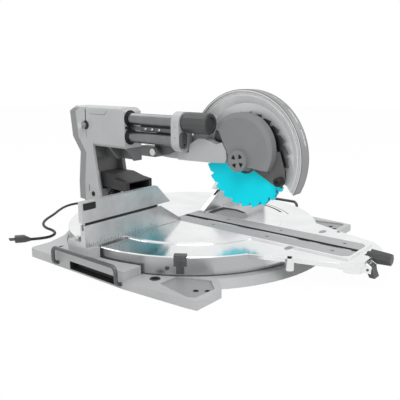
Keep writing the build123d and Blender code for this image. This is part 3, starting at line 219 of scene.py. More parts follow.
dress(
    start, shader,
    dust.mix((0.012, 0.012, 0.013, 1), (0.035, 0.034, 0.033, 1)),
    dust * 0.15 + 0.5,
    relief(start, grain(start, where, 1500.0), 0.25, 0.0004),
)
cord_curve.materials.append(rubber)
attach(supply_cord, "base")
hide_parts("cord")
coat_nodes(rubber, "cord_gland", "wiper_rings", "guard_bumper", "stop_plug")

# Studio: a pale seamless floor under a bright surround, with soft lamps above.
# The surround is plain white to the lens and to polished metal, and dimmer as light.
def seen_directly(shade):
    """One for rays from the lens, mirror rays and rays straight through, else zero."""
    seen = shade.node("ShaderNodeLightPath", out=0)
    mirrored = shade.node("ShaderNodeLightPath", out=3)
    through = shade.node("ShaderNodeLightPath", out=6)
    return shade.math("MINIMUM", seen + mirrored + through, 1.0)


half_floor = 6.0
floor_glow_share = 0.97
corner_sides = ((-1, -1), (1, -1), (1, 1), (-1, 1))
floor_corners = [(x * half_floor, y * half_floor, 0) for x, y in corner_sides]
floor_mesh = bpy.data.meshes.new("floor")
floor_mesh.from_pydata(floor_corners, [], [(0, 1, 2, 3)])
floor = bpy.data.objects.new("floor", floor_mesh)
scene.collection.objects.link(floor)
floor_paper = bpy.data.materials.new("floor_paper")
floor_paper.use_nodes = True
tree = floor_paper.node_tree
tree.nodes.clear()
start = Shade(tree)
glow_share = seen_directly(start) * floor_glow_share
paper = start.node("ShaderNodeBsdfDiffuse", None, {"Color": (0.86, 0.86, 0.86, 1)})
glow = start.node("ShaderNodeEmission", None, {"Color": (1, 1, 1, 1), "Strength": 1.0})
blend = start.node("ShaderNodeMixShader", None, {0: glow_share, 1: paper, 2: glow})
end = tree.nodes.new("ShaderNodeOutputMaterial")
tree.links.new(blend.socket, end.inputs["Surface"])
floor_mesh.materials.append(floor_paper)

world = bpy.data.worlds.new("surround")
scene.world = world
world.use_nodes = True
tree = world.node_tree
start = Shade(tree)
dim_light = 0.7
backdrop = tree.nodes["Background"]
backdrop.inputs["Color"].default_value = (1, 1, 1, 1)
start.feed(backdrop.inputs["Strength"], seen_directly(start) * (1 - dim_light) + dim_light)

lamp_target = Vector((0, 0, 0.15))
for name, spot, size, power in (
    ("key_lamp", (-1.3, -1.2, 2.1), 1.6, 30.0),
    ("fill_lamp", (1.6, -1.4, 1.5), 1.4, 9.0),
    ("rim_lamp", (0.3, 1.9, 1.9), 1.4, 10.0),
):
    lamp_data = bpy.data.lights.new(name, "AREA")
    lamp_data.shape = "DISK"
    lamp_data.size = size
    lamp_data.energy = power
    lamp = bpy.data.objects.new(name, lamp_data)
    scene.collection.objects.link(lamp)
    lamp.location = spot
    aim = lamp_target - Vector(spot)
    lamp.rotation_mode = "QUATERNION"
    lamp.rotation_quaternion = aim.to_track_quat("-Z", "Y")

# Base: one wide die casting with feet, bench holes and hand holds under its wings.
# It is painted silver-grey, with a fine orange peel and small metallic specks, and painted
# shade darkens its hand holds to black; its foot panels are a darker grey.
paint, shader, start = new_finish("silver_paint", Metallic=0.0, Specular_IOR_Level=0.5)
where = place(start)
cloud = grain(start, where, 9.0, 4.0)
speck = spread(start, grain(start, where, 2600.0, 1.0), 0.62, 0.72)
silver = spread(start, cloud, 0.3, 0.7).mix((0.40, 0.405, 0.41, 1), (0.46, 0.465, 0.47, 1))
scuffs = spread(start, grain(start, where, 70.0, 5.0, 0.7), 0.62, 0.80)
worn = (scuffs * 0.30).mix(silver, (0.30, 0.305, 0.31, 1))
base_x, base_y, base_z = [where.axis(side) for side in (0, 1, 2)]
wing = start.math("ABSOLUTE", base_x)
hold_middle_y = -0.0155
along_hold = start.math("ABSOLUTE", base_y - hold_middle_y)
# Painted shade: the hand-hold pockets are painted near black for the shade inside them.
hold_shade = band(start, wing, (0.3190, 0.3196), (0.3386, 0.3394))
hold_shade = hold_shade * (1 - spread(start, along_hold, 0.0727, 0.0730))
hold_shade = hold_shade * band(start, base_z, (0.0020, 0.0026), (0.0212, 0.0216))
worn = (speck * 0.35).mix(worn, (0.66, 0.67, 0.68, 1))
panel = band(start, wing, (0.226, 0.228), (0.3200, 0.3210))
panel = panel * band(start, base_y, (-0.271, -0.270), (-0.172, -0.170))
panel = panel * band(start, base_z, (0.0134, 0.0137), (0.0143, 0.0146))
worn = (panel * 0.85).mix(worn, (0.26, 0.263, 0.267, 1))
peel = grain(start, where, 900.0, 2.0) * 0.7 + grain(start, where, 260.0, 2.0) * 0.3
dress(
    start, shader,
    hold_shade.mix(worn, (0.03, 0.03, 0.032, 1)),
    cloud * 0.14 + speck * -0.08 + scuffs * 0.1 + 0.36,
    relief(start, peel, 0.18, 0.0005, 0.0012),
)
shader.inputs["Coat Weight"].default_value = 0.15
shader.inputs["Coat Roughness"].default_value = 0.25
coat_nodes(paint, "base_casting")


def new_piece(name, shape, material, body):
    """Turns a mesh drawn in mm into a piece in metres that rides on a body."""
    bmesh.ops.recalc_face_normals(shape, faces=shape.faces)
    bmesh.ops.scale(shape, vec=(0.001, 0.001, 0.001), verts=shape.verts)
    mesh = bpy.data.meshes.new(name)
    shape.to_mesh(mesh)
    shape.free()
    mesh.materials.append(material)
    piece = bpy.data.objects.new(name, mesh)
    scene.collection.objects.link(piece)
    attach(piece, body)


def plate(shape, outline, axis, low, high, edge=0.3):
    """A plate in mm: an outline across one axis, with sloped rims at both faces."""
    middle = [sum(spot[side] for spot in outline) / len(outline) for side in (0, 1)]
    rings = []
    for level, inset in ((low, edge), (low + edge, 0), (high - edge, 0), (high, edge)):
        ring = []
        for spot in outline:
            reach = math.dist(spot, middle)
            across, up = [m + (s - m) * (1 - inset / reach) for s, m in zip(spot, middle)]
            corner = {"x": (level, across, up), "y": (across, level, up), "z": (across, up, level)}
            ring.append(shape.verts.new(corner[axis]))
        rings.append(ring)
    for first, second in zip(rings, rings[1:]):
        for index in range(len(outline)):
            after = (index + 1) % len(outline)
            shape.faces.new((first[index], first[after], second[after], second[index]))
    shape.faces.new(rings[0])
    shape.faces.new(rings[-1])


def box(low, high):
    """The outline of a rectangle between two opposite corners."""
    return [low, (high[0], low[1]), high, (low[0], high[1])]


# Hand-hold liners: dark textured plastic panels clipped to the back of each hand hold,
# with three finger ribs moulded on their faces.
liner_plastic, shader, start = new_finish("liner_plastic", Specular_IOR_Level=0.4)
where = place(start)
pits = grain(start, where, 1300.0, 2.0)
dress(
    start, shader,
    pits.mix((0.04, 0.041, 0.043, 1), (0.08, 0.081, 0.083, 1)),
    pits * 0.2 + 0.45,
    relief(start, pits, 0.3, 0.0005),
)
liner_back, liner_front = 320.05, 320.6
rib_back, rib_front = 320.5, 321.4
rib_half = 0.8
liner = bmesh.new()
for side in (-1, 1):
    liner_x = sorted((side * liner_back, side * liner_front))
    rib_x = sorted((side * rib_back, side * rib_front))
    plate(liner, box((-86, 4), (55, 20)), "x", *liner_x, 0.1)
    for rib in (7.0, 12.0, 17.0):
        plate(liner, box((-84, rib - rib_half), (53, rib + rib_half)), "x", *rib_x, 0.2)
new_piece("hand_hold_liners", liner, liner_plastic, "base")

# Bench hole caps: black rubber rings in the bench holes and foot holes, each closed by a
# thin web that is cut out when the saw is bolted down.
def turned(shape, profile, spot, direction, sides=24):
    """A turned piece in mm: (radius, height) steps from a spot; a third item makes a hexagon."""
    along = Vector(direction).normalized()
    across = along.orthogonal().normalized()
    other = along.cross(across)
    rings = []
    for radius, height, *hexagon in profile:
        ring = []
        for step in range(sides):
            turn = 2 * math.pi * step / sides
            reach = radius
            if hexagon:
                reach *= math.cos(math.pi / 6) / math.cos(turn % (math.pi / 3) - math.pi / 6)
            side = across * math.cos(turn) + other * math.sin(turn)
            ring.append(shape.verts.new(Vector(spot) + along * height + side * reach))
        rings.append(ring)
    for first, second in zip(rings, rings[1:]):
        for index in range(sides):
            after = (index + 1) % sides
            shape.faces.new((first[index], first[after], second[after], second[index]))
    shape.faces.new(rings[0])
    shape.faces.new(rings[-1])


over_the_base = 500
caps = bmesh.new()
cap_spots = [(side * 291, end * 148, 6.5, 11.0) for side in (-1, 1) for end in (-1, 1)]
cap_spots += [(side * 282, -244.5, 3.5, 5.6) for side in (-1, 1)]
cap_spots += [(side * 269, -262.0, 3.5, 5.2) for side in (-1, 1)]
for cap_x, cap_y, hole, reach in cap_spots:
    beside = Vector((cap_x + reach + 1, cap_y, over_the_base)) * 0.001
    met = nodes["base_casting"].ray_cast(beside, Vector((0, 0, -1)))[1]
    top = met.z * 1000
    ring = [(hole - 0.1, -3), (hole - 0.1, 0.05), (reach, 0.05), (reach, 0.4), (reach - 0.4, 0.7),
            (hole - 0.4, 0.7), (hole - 0.6, 0.4), (hole - 0.6, -1.8)]
    turned(caps, ring, (cap_x, cap_y, top), (0, 0, 1), 32)
new_piece("bench_hole_caps", caps, rubber, "base")

# Turntable: alloy casting, faced on a lathe and polished, so its top carries very fine
# rings round the pivot and mirrors what stands on it. Its skirt is left duller.
def ring_grain(shade, reach, scale):
    """Noise that changes with the distance from a centre only: fine turned rings."""
    along = shade.node("ShaderNodeCombineXYZ", None, {"X": reach * scale})
    return grain(shade, along, 1.0, 2.0)


table_top = 60.0
ring_top = 57.0
table_radius = 306.0
lathe, shader, start = new_finish("turned_alloy", Metallic=1.0)
where = place(start)
reach = where.vector("MULTIPLY", (1, 1, 0)).length()
rings = ring_grain(start, reach, 2400.0)
smear = grain(start, where, 14.0, 4.0)
bright = spread(start, smear, 0.35, 0.7).mix((0.78, 0.785, 0.79, 1), (0.86, 0.865, 0.87, 1))
height = where.axis(2)
ahead = where.axis(1)
skirt_band = (1 - spread(start, height, 0.0545, 0.0555)) * spread(start, ahead, -0.300, -0.285)
skirt_band = skirt_band * spread(start, reach, 0.296, 0.300)
dress(
    start, shader,
    skirt_band.mix(bright, (0.46, 0.465, 0.47, 1)),
    smear * 0.08 + rings * 0.08 + skirt_band * 0.16 + 0.06,
    relief(start, rings, 0.06, 0.0003, 0.0008),
)
coat_nodes(lathe, "turntable_casting")

# Table pocket shade: thin dark plates on the table top, painted shade standing in for a shallow
# recess beside the kerf, and two dark ovals on the lower ring that paint the shade of two small
# recesses.
pocket_shade, shader, start = new_finish("painted_pocket_shade", Metallic=0.6)
where = place(start)
cloud = grain(start, where, 45.0, 4.0)
dress(
    start, shader,
    cloud.mix((0.26, 0.263, 0.266, 1), (0.38, 0.384, 0.388, 1)),
    cloud * 0.2 + 0.35,
    relief(start, grain(start, where, 900.0, 2.0), 0.15, 0.0004),
)
shade_plates = bmesh.new()
pocket = [
    (53, -6), (82, -2), (124, -4), (126, -48), (114, -82), (91, -108), (76, -116), (56, -117),
    (53, -100),
]
inlay_thick = 0.12
plate(shade_plates, pocket, "z", table_top, table_top + inlay_thick, 0.04)
pad_y, pad_long, pad_short, pad_sides = -314, 14, 7, 28
for pad_x in (-64, 90):
    pad = []
    for step in range(pad_sides):
        turn = 2 * math.pi * step / pad_sides
        pad.append((pad_x + pad_long * math.cos(turn), pad_y + pad_short * math.sin(turn)))
    plate(shade_plates, pad, "z", ring_top, ring_top + inlay_thick, 0.04)
new_piece("table_pocket_shade", shade_plates, pocket_shade, "turntable")

# Table shadow marks: a black painted shadow along the rim of the pocket shade, and two black
# arcs on the lower ring that paint the shade inside two curved slots.
def round_spot(centre, radius, turn):
    """The point at an angle in radians on a circle round a centre."""
    return centre[0] + radius * math.cos(turn), centre[1] + radius * math.sin(turn)


def ring_part(centre, low, high, first, last, steps):
    """The outline of a part of a ring between two radii and two angles in degrees."""
    turns = [math.radians(first + (last - first) * step / steps) for step in range(steps + 1)]
    outer = [round_spot(centre, high, turn) for turn in turns]
    inner = [round_spot(centre, low, turn) for turn in turns]
    return outer + inner[::-1]


shadow_ink, shader, start = new_finish("ink_and_painted_shadow", Specular_IOR_Level=0.3)
where = place(start)
flecks = grain(start, where, 600.0, 3.0)
dress(
    start, shader,
    flecks.mix((0.02, 0.02, 0.021, 1), (0.05, 0.05, 0.052, 1)),
    flecks * 0.2 + 0.5,
)
shadow_marks = bmesh.new()
plate(
    shadow_marks,
    [(53, -6), (82, -2), (124, -4), (127, -48), (114, -84), (104, -82), (113, -50), (108, -24),
     (82, -20), (53, -24)],
    "z", table_top + 0.1, table_top + 0.24, 0.03,
)
for low_reach, high_reach, first, last in ((234, 240, -38, -16), (248, 250, -44, -12)):
    arc = ring_part((0, 0), low_reach, high_reach, first, last, 16)
    plate(shadow_marks, arc, "z", ring_top, ring_top + 0.1, 0.02)
new_piece("table_shadow_marks", shadow_marks, shadow_ink, "turntable")

# Kerf boards: light grey moulded strips screwed flush into the table, with painted shade darkening
# them to black in the saw slot.
board, shader, start = new_finish("kerf_board", Specular_IOR_Level=0.4)
where = place(start)
drawn = where.stretch((500.0, 12.0, 500.0))
streak = grain(start, drawn, 1.0, 3.0)
tone = streak.mix((0.33, 0.335, 0.34, 1), (0.43, 0.435, 0.44, 1))
aside = where.axis(0)
# Painted shade: the faces in and beside the saw slot are painted near black.
slot_shade = 1 - spread(start, start.math("ABSOLUTE", aside), 0.0076, 0.0079)
dress(
    start, shader,
    slot_shade.mix(tone, (0.03, 0.03, 0.031, 1)),
    streak * 0.2 + 0.35,
    relief(start, streak, 0.15, 0.0004),
)
coat_nodes(board, "kerf_boards")

# Pins, bolts and nuts: drawn steel, ground round and left bright.
steel, shader, start = new_finish("drawn_steel", Metallic=1.0)
where = place(start)
turned_lines = where.stretch((60.0, 1800.0, 60.0))
scuff = grain(start, turned_lines, 1.0, 3.0)
cloud = grain(start, where, 40.0, 3.0)
dress(
    start, shader,
    cloud.mix((0.50, 0.505, 0.51, 1), (0.62, 0.625, 0.63, 1)),
    scuff * 0.16 + cloud * 0.08 + 0.18,
    relief(start, scuff, 0.08, 0.0003),
)
coat_nodes(
    steel, "head_pin", "head_pin_nut", "fence_bolts", "pivot_bolt", "pivot_nut", "bevel_shaft",
    "bevel_nut", "slide_lock_screw", "arbor_shaft", "arbor_bolt",
    "blade_flanges", "drive_gear", "arbor_bearings",
)

# Extension rods, rim pointer and dark screws: bent and pressed steel, blackened in oil
# and rubbed back to grey in patches.
oiled, shader, start = new_finish("oiled_steel", Metallic=0.85)
where = place(start)
cloud = grain(start, where, 55.0, 4.0)
rub = spread(start, grain(start, where, 300.0, 3.0), 0.5, 0.75)
tone = cloud.mix((0.085, 0.087, 0.09, 1), (0.15, 0.152, 0.156, 1))
dress(
    start, shader,
    (rub * 0.4).mix(tone, (0.26, 0.263, 0.267, 1)),
    cloud * 0.2 + 0.28,
    relief(start, rub, 0.08, 0.0003),
)
coat_nodes(
    oiled, "extension_rod_left", "extension_rod_right", "rim_pointer", "kerf_screws",
    "pointer_screw", "detent_pivot",
)

# Skirt screw: a blackened socket screw in the table's rim beside the pointer.
skirt = bmesh.new()
skirt_turn = math.radians(-149.5)
skirt_out = (math.cos(skirt_turn), math.sin(skirt_turn), 0)
socket_head = [(4.6, 0), (4.6, 1.6), (3.9, 2.3), (2.6, 2.3), (2.4, 2.2, 6), (2.4, 0.6, 6)]
skirt_reach, skirt_level = table_radius - 0.4, 33
skirt_spot = (skirt_reach * skirt_out[0], skirt_reach * skirt_out[1], skirt_level)
turned(skirt, socket_head, skirt_spot, skirt_out)
new_piece("skirt_screw", skirt, oiled, "turntable")

# Fences: flat alloy plates, ground lengthwise and polished.
ground, shader, start = new_finish("ground_alloy", Metallic=1.0)
where = place(start)
drawn = where.stretch((4.0, 900.0, 1500.0))
lines = grain(start, drawn, 1.0, 3.0)
smear = grain(start, where, 16.0, 4.0)
bright = spread(start, smear, 0.35, 0.7).mix((0.44, 0.445, 0.45, 1), (0.60, 0.605, 0.61, 1))
dress(
    start, shader,
    bright,
    smear * 0.14 + lines * 0.14 + 0.18,
    relief(start, lines, 0.08, 0.0003, 0.0006),
)
coat_nodes(ground, "fence_left", "fence_right", "upper_fence_left", "upper_fence_right")

# Fence felt: black strips under the upper fences that paint the shadow in the gap between the
# upper and lower fences, and a black stop pad at the left end.
black_felt_and_shadow, shader, start = new_finish("black_felt_and_painted_shadow", Specular_IOR_Level=0.2)
where = place(start)
nap = grain(start, where, 1900.0, 3.0)
dress(
    start, shader,
    nap.mix((0.012, 0.012, 0.012, 1), (0.04, 0.04, 0.041, 1)),
    nap * 0.1 + 0.8,
    relief(start, nap, 0.5, 0.0006),
)
felt_outer, felt_inner = 336, 127
for side, name in ((-1, "left"), (1, "right")):
    strip = bmesh.new()
    # Painted shadow: the strips fill the gap under each upper fence with black.
    low_x, high_x = sorted((side * felt_outer, side * felt_inner))
    plate(strip, box((low_x, 1.2), (high_x, 3.9)), "z", 108.6, 113.4, 0.3)
    if side < 0:
        pad = [(-340, 140), (-310, 140), (-309, 142), (-309, 152), (-310, 154), (-340, 154)]
        plate(strip, pad, "y", -0.5, 0.05, 0.2)
    new_piece("fence_black_felt_and_shadow_" + name, strip, black_felt_and_shadow, "upper_fence_" + name + "_body")

# Fence rule: engraved and inked divisions along the foot of both lower fences.
rule_foot, rule_step, mark_half = 62, 5.0, 0.35
rule = bmesh.new()
for side in (-1, 1):
    for step in range(26, 67):
        mark = side * step * rule_step
        tall = rule_foot + (11 if step % 10 == 0 else 7 if step % 2 == 0 else 4.5)
        plate(rule, box((mark - mark_half, rule_foot), (mark + mark_half, tall)),
              "y", -0.14, 0.02, 0.03)
new_piece("fence_rule", rule, shadow_ink, "base")

# Post and slide housing: a second die casting in silver paint, with painted shade darkening its
# pockets and its bevelled back, a joint line under its cover, a painted shadow round the lock
# screw and black painted shadow rings round the rails.
post_paint, shader, start = new_finish("post_paint", Specular_IOR_Level=0.5)
where = place(start)
post_x, post_y, post_z = [where.axis(side) for side in (0, 1, 2)]
cloud = grain(start, where, 9.0, 4.0)
speck = spread(start, grain(start, where, 2600.0, 1.0), 0.62, 0.72)
silver = spread(start, cloud, 0.3, 0.7).mix((0.40, 0.405, 0.41, 1), (0.46, 0.465, 0.47, 1))
silver = (speck * 0.35).mix(silver, (0.66, 0.67, 0.68, 1))
# Painted shade: the bevelled back and the pockets inside the housing are painted darker.
shaded_back = spread(start, post_x, -0.0578, -0.0572) * spread(start, post_y, 0.326, 0.334)
shaded_back = shaded_back * (1 - spread(start, post_z, 0.318, 0.323))
shaded_pockets = spread(start, post_x, -0.0512, -0.0506) * (1 - spread(start, post_z, 0.2215, 0.2225))
shaded_pockets = shaded_pockets * (1 - spread(start, post_y, 0.318, 0.326))
tone = (shaded_back * 0.9).mix(silver, (0.20, 0.202, 0.205, 1))
peel = grain(start, where, 900.0, 2.0) * 0.7 + grain(start, where, 260.0, 2.0) * 0.3
dress(
    start, shader,
    (shaded_pockets * 0.9).mix(tone, (0.10, 0.101, 0.103, 1)),
    cloud * 0.14 + shaded_pockets * 0.12 + 0.36,
    relief(start, peel, 0.18, 0.0005, 0.0012),
)
shader.inputs["Coat Weight"].default_value = 0.15
shader.inputs["Coat Roughness"].default_value = 0.25
coat_nodes(post_paint, "post_casting")
housing_side = -57.9
joint_line = bmesh.new()
cover_edge = [
    (319, 305.4), (319, 306.2), (255.3, 306.2), (246.4, 316.8), (245.6, 316.2), (254.7, 305.4),
]
upper_mark = [(332.2, 316), (335.8, 316), (335.6, 286), (332.6, 286)]
lower_mark = [(333.2, 262), (334.8, 262), (334.5, 240), (333.5, 240)]
for outline, proud in ((cover_edge, 0.22), (upper_mark, 0.25), (lower_mark, 0.2)):
    plate(joint_line, outline, "x", housing_side - proud, housing_side, 0.04)
# Painted shadow: a black ring round the lock screw.
screw_shadow_ring = [(8, 0), (12.4, 0), (12.4, 0.5), (11.8, 0.9), (8, 0.9)]
turned(joint_line, screw_shadow_ring, (housing_side, 334, 275), (-1, 0, 0), 40)
new_piece("housing_joint_line", joint_line, shadow_ink, "post")
rail_x, rail_levels, bar_level = -36, (298.0, 252.0), 275
# Painted shadow: black rings round the rails and black strips beside the slide bar, where the
# housing's front is in shade.
rail_shadow_ring = [(18.6, 0), (21.6, 0), (21.6, 0.9), (18.6, 0.9)]
rail_shadow = bmesh.new()
for rail_z in rail_levels:
    turned(rail_shadow, rail_shadow_ring, (rail_x, 180.1, rail_z), (0, -1, 0), 48)
for low_x, high_x in ((-55, -39.8), (-32.2, -17)):
    plate(rail_shadow, box((low_x, bar_level - 4), (high_x, bar_level + 4)), "y", 179.2, 180.05, 0.2)
new_piece("housing_rail_shadow", rail_shadow, black_felt_and_shadow, "post")

# Slide rails: ground tubes with a dark hard chrome that mirrors softly along their length.
rail_chrome, shader, start = new_finish("rail_chrome", Metallic=1.0)
where = place(start)
drawn = where.stretch((900.0, 6.0, 900.0))
lines = grain(start, drawn, 1.0, 3.0)
cloud = grain(start, where, 35.0, 3.0)
dress(
    start, shader,
    cloud.mix((0.17, 0.172, 0.176, 1), (0.25, 0.253, 0.257, 1)),
    lines * 0.14 + cloud * 0.08 + 0.24,
    relief(start, lines, 0.08, 0.0003),
)
coat_nodes(rail_chrome, "slide_rails")

# Front bracket: cast clamp on the rail ends, silver at its face; the web behind it that carries
# the head's hinge is painted dark as painted shade.
bracket_paint_and_shade, shader, start = new_finish("bracket_paint", Specular_IOR_Level=0.5)
where = place(start)
# Painted shade: everything behind the bracket's face is painted dark.
rear_shade = spread(start, where.axis(1), 0.0175, 0.0185)
cloud = grain(start, where, 12.0, 4.0)
peel = grain(start, where, 900.0, 2.0)
silver = cloud.mix((0.42, 0.425, 0.43, 1), (0.49, 0.495, 0.50, 1))
painted_shade = cloud.mix((0.085, 0.086, 0.089, 1), (0.13, 0.132, 0.136, 1))
dress(
    start, shader,
    rear_shade.mix(silver, painted_shade),
    cloud * 0.14 + 0.34,
    relief(start, peel, 0.18, 0.0005, 0.0010),
)
coat_nodes(bracket_paint_and_shade, "front_bracket")

# Slide bar: flat dark steel between the rails that the lock screw presses on, with a dark
# plastic shroud clipped behind it, held to the bracket by bright bolts.
coat_nodes(oiled, "slide_bar")
shroud_front, shroud_rear, shroud_half = 18, 147, 8
shroud = bmesh.new()
plate(shroud, box((shroud_front, bar_level - shroud_half), (shroud_rear, bar_level + shroud_half)),
      "x", -32.9, -31.6, 0.2)
for rib_y in range(30, 140, 16):
    plate(shroud, box((rib_y, bar_level - 7), (rib_y + 5, bar_level + 7)), "x", -31.7, -30.6, 0.3)
new_piece("rail_shroud", shroud, liner_plastic, "carriage")
bolts = bmesh.new()
cap_head = [(3.6, 0), (3.6, 2.4), (3.0, 3.0), (2.1, 3.0), (1.9, 2.9, 6), (1.9, 1.2, 6)]
low_head = [(2.6, 0), (2.6, 0.3), (2.0, 0.5), (1.7, 0.45, 6), (1.7, -0.2, 6)]
bar_face, bracket_face, bracket_y = -38.9, -61.0, 3.5
for bolt_y in (120, 97, 73):
    turned(bolts, cap_head, (bar_face, bolt_y, bar_level), (-1, 0, 0))
for bolt_z in (288, 262):
    turned(bolts, low_head, (bracket_face, bracket_y, bolt_z), (-1, 0, 0))
new_piece("carriage_bolts", bolts, steel, "carriage")

# Grips, levers and knobs: dark glass-filled plastic, spark-eroded texture.
grip_plastic, shader, start = new_finish("dark_grip", Specular_IOR_Level=0.45)
where = place(start)
pits = grain(start, where, 1400.0, 2.0)
cloud = grain(start, where, 25.0, 3.0)
dress(
    start, shader,
    cloud.mix((0.045, 0.046, 0.048, 1), (0.075, 0.076, 0.078, 1)),
    pits * 0.2 + 0.36,
    relief(start, pits, 0.3, 0.0005, 0.0008),
)
coat_nodes(
    grip_plastic, "lock_grip", "mitre_grip", "handle", "fence_clamp_left", "fence_clamp_right",
    "detent_lever", "latch_lever", "trigger", "plug",
)

# Dust chute: softer black plastic scoop, moulded with a fine grain.
chute_plastic, shader, start = new_finish("chute_plastic", Specular_IOR_Level=0.35)
where = place(start)
pits = grain(start, where, 1100.0, 2.0)
cloud = grain(start, where, 30.0, 3.0)
dress(
    start, shader,
    cloud.mix((0.022, 0.022, 0.024, 1), (0.038, 0.038, 0.040, 1)),
    pits * 0.2 + 0.42,
    relief(start, pits, 0.25, 0.0005, 0.0010),
)
coat_nodes(chute_plastic, "dust_chute")

# Lock-off button: small red plastic peg in the handle's side.
peg, shader, start = new_finish("red_peg")
where = place(start)
pits = grain(start, where, 1800.0, 2.0)
dress(
    start, shader,
    pits.mix((0.30, 0.02, 0.015, 1), (0.42, 0.04, 0.03, 1)),
    pits * 0.2 + 0.3,
)
coat_nodes(peg, "lock_off_button")

# Handle ribs: soft rubber ribs moulded over the top of the handle's bar.
first_rib, rib_step, rib_count, rib_width = -138, 8, 9, 4
ribs = bmesh.new()
for step in range(rib_count):
    rib_y = first_rib + rib_step * step
    plate(ribs, box((66, rib_y), (84, rib_y + rib_width)), "z", 337.9, 339.0, 0.4)
new_piece("handle_ribs", ribs, rubber, "head")

# Head arm and gear case: die castings in the base's silver paint.
# The gear case is closed by four socket screws round the arbor.
coat_nodes(paint, "head_arm", "gear_case")
arbor = (-162.6, 220.7)
case_side, case_screw_reach = 61.9, 52
case_screws = bmesh.new()
for turn in (140, 200, 260, 320):
    spot = round_spot(arbor, case_screw_reach, math.radians(turn))
    turned(case_screws, cap_head, (case_side, *spot), (1, 0, 0))
new_piece("gear_case_screws", case_screws, steel, "head")

# Upper guard: pressed alloy drum, bright and spun inside so fine rings run round it, with a
# painted light brightening its inner cone, a grey painted rim, and white strips behind its vent
# slots that paint the light seen through them.
spun, shader, start = new_finish("spun_guard", Specular_IOR_Level=0.5)
where = place(start)
guard_centre = (-155.6, 225.7)
local = where.vector("SUBTRACT", (0, guard_centre[0] * 0.001, guard_centre[1] * 0.001))
reach = local.vector("MULTIPLY", (0, 1, 1)).length()
rim = spread(start, reach, 0.1502, 0.1507)
rings = ring_grain(start, reach, 1500.0)
cloud = grain(start, where, 12.0, 4.0)
bright = (rings * 0.5 + cloud * 0.5).mix((0.58, 0.585, 0.59, 1), (0.70, 0.705, 0.71, 1))
# Painted light: the inner cone is painted brighter, and less metallic, than the rest of the drum.
painted_light_cone = band(start, reach, (0.1195, 0.1225), (0.1365, 0.1390))
bright = painted_light_cone.mix(bright, (0.88, 0.885, 0.89, 1))
grey = cloud.mix((0.20, 0.202, 0.206, 1), (0.27, 0.273, 0.277, 1))
aside = where.axis(0)
lip_line = spread(start, reach, 0.1494, 0.1498) * (1 - spread(start, aside, -0.0086, -0.0082))
rear_line = rim * spread(start, aside, 0.0196, 0.0200)
tone = rim.mix(bright, grey)
seam = start.math("MAXIMUM", lip_line, rear_line)
start.feed(shader.inputs["Metallic"], 0.35 - rim * 0.15 - painted_light_cone * 0.2)
dress(
    start, shader,
    (seam * 0.85).mix(tone, (0.05, 0.05, 0.052, 1)),
    rings * 0.12 + rim * 0.06 + 0.28,
    relief(start, rings, 0.08, 0.0003, 0.0006),
)
coat_nodes(spun, "upper_guard")
# Painted light: white strips behind the vent slots make them read bright.
strips = bmesh.new()
strip_inner, strip_outer, strip_sweep = 147.4, 149, 14.4
for first in (112.3, 132.3, 152.3):
    arc = ring_part(guard_centre, strip_inner, strip_outer, first, first + strip_sweep, 10)
    plate(strips, arc, "x", 9.3, 14.7, 0.02)
vent_light, shader, start = new_finish("painted_vent_light", Specular_IOR_Level=0.5)
cloud = grain(start, place(start), 40.0, 3.0)
dress(
    start, shader,
    cloud.mix((0.80, 0.80, 0.80, 1), (0.90, 0.90, 0.90, 1)),
    cloud * 0.15 + 0.35,
)
new_piece("guard_vent_light", strips, vent_light, "head")

# Hub cover and motor shells: mid grey moulded plastic, with a black felt disc behind the four
# holes of the hub that paints the shade in them.
moulded, shader, start = new_finish("grey_moulding", Specular_IOR_Level=0.4)
where = place(start)
cloud = grain(start, where, 18.0, 4.0)
pits = grain(start, where, 1600.0, 2.0)
dress(
    start, shader,
    cloud.mix((0.19, 0.193, 0.198, 1), (0.235, 0.238, 0.243, 1)),
    cloud * 0.1 + pits * 0.1 + 0.38,
    relief(start, pits, 0.15, 0.0004, 0.0010),
)
coat_nodes(moulded, "hub_cover", "motor_housing", "motor_end_cap", "brush_caps")
# Painted shade: a black disc behind the hub's holes makes them read dark.
hub_hole_shade = bmesh.new()
liner_steps = [(19.5, 0), (19.5, 0.5), (12, 0.5), (12, 0.9), (6, 0.9)]
turned(hub_hole_shade, liner_steps, (-37.3, *arbor), (-1, 0, 0), 40)
new_piece("hub_hole_shade", hub_hole_shade, black_felt_and_shadow, "head")

# Motor bands: raised cooling bands moulded round the motor shell in the same plastic.
bands = bmesh.new()
motor_axis = (-119.6, 245.5)
band_steps = [(41.8, 0), (43.0, 0.5), (43.0, 3.5), (41.8, 4)]
for band_x in (78, 90, 102, 114):
    turned(bands, band_steps, (band_x, *motor_axis), (1, 0, 0), 64)
new_piece("motor_bands", bands, moulded, "head")

# Lower guard: cyan plastic shell with a satin face and faint flow marks.
cyan, shader, start = new_finish("cyan_guard", Specular_IOR_Level=0.2)
where = place(start)
flow = grain(start, where, 22.0, 4.0)
dress(
    start, shader,
    flow.mix((0.0, 0.70, 0.83, 1), (0.0, 0.78, 0.92, 1)),
    flow * 0.12 + 0.42,
    relief(start, grain(start, where, 900.0, 2.0), 0.06, 0.0003),
)
coat_nodes(cyan, "lower_guard")

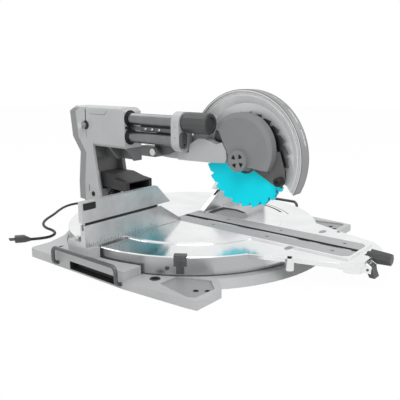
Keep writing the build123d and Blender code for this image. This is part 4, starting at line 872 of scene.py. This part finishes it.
# Saw blade: hardened plate, ground in rings round its bore and coated dark,
# with a dark carbide tip brazed to the face of each of its 24 teeth.
plate_steel, shader, start = new_finish("blade_plate", Metallic=1.0)
where = place(start)
reach = where.vector("SUBTRACT", (0, arbor[0] * 0.001, arbor[1] * 0.001)).length()
rings = ring_grain(start, reach, 3000.0)
cloud = grain(start, where, 30.0, 3.0)
dress(
    start, shader,
    cloud.mix((0.10, 0.102, 0.105, 1), (0.16, 0.162, 0.165, 1)),
    rings * 0.2 + 0.28,
    relief(start, rings, 0.1, 0.0003),
)
coat_nodes(plate_steel, "blade")
tooth_count, first_tooth, tip_half = 24, 4.5, 1.6
tip_corners = ((107.9, 0.0), (101.5, 0.45), (101.2, -2.2), (106.6, -2.6))
tips = bmesh.new()
for tooth in range(tooth_count):
    angle = first_tooth + 360 / tooth_count * tooth
    outline = [round_spot(arbor, radius, math.radians(angle + lag)) for radius, lag in tip_corners]
    plate(tips, outline, "x", -tip_half, tip_half, 0.15)
new_piece("carbide_tips", tips, oiled, "blade_body")

# Link plate: dark painted sheet steel behind the hub cover.
black, shader, start = new_finish("dark_sheet")
where = place(start)
peel = grain(start, where, 900.0, 2.0)
dress(
    start, shader,
    peel.mix((0.085, 0.086, 0.088, 1), (0.12, 0.121, 0.124, 1)),
    peel * 0.2 + 0.35,
    relief(start, peel, 0.15, 0.0004, 0.0006),
)
coat_nodes(black, "link_plate")

# Armature and stator: laminated steel with lacquered copper.
laminate, shader, start = new_finish("lacquered_laminate", Metallic=0.8)
where = place(start)
layers = grain(start, where.stretch((2000.0, 8.0, 8.0)), 1.0)
dress(
    start, shader,
    layers.mix((0.16, 0.09, 0.05, 1), (0.40, 0.24, 0.14, 1)),
    layers * 0.2 + 0.35,
)
coat_nodes(laminate, "armature", "motor_stator")

# Rail bushes: sintered bronze sleeves pressed into the housing.
bronze, shader, start = new_finish("sintered_bronze", Metallic=1.0)
where = place(start)
pores = grain(start, where, 2200.0, 2.0)
dress(
    start, shader,
    pores.mix((0.36, 0.22, 0.09, 1), (0.52, 0.36, 0.17, 1)),
    pores * 0.25 + 0.3,
)
coat_nodes(bronze, "rail_bushes")
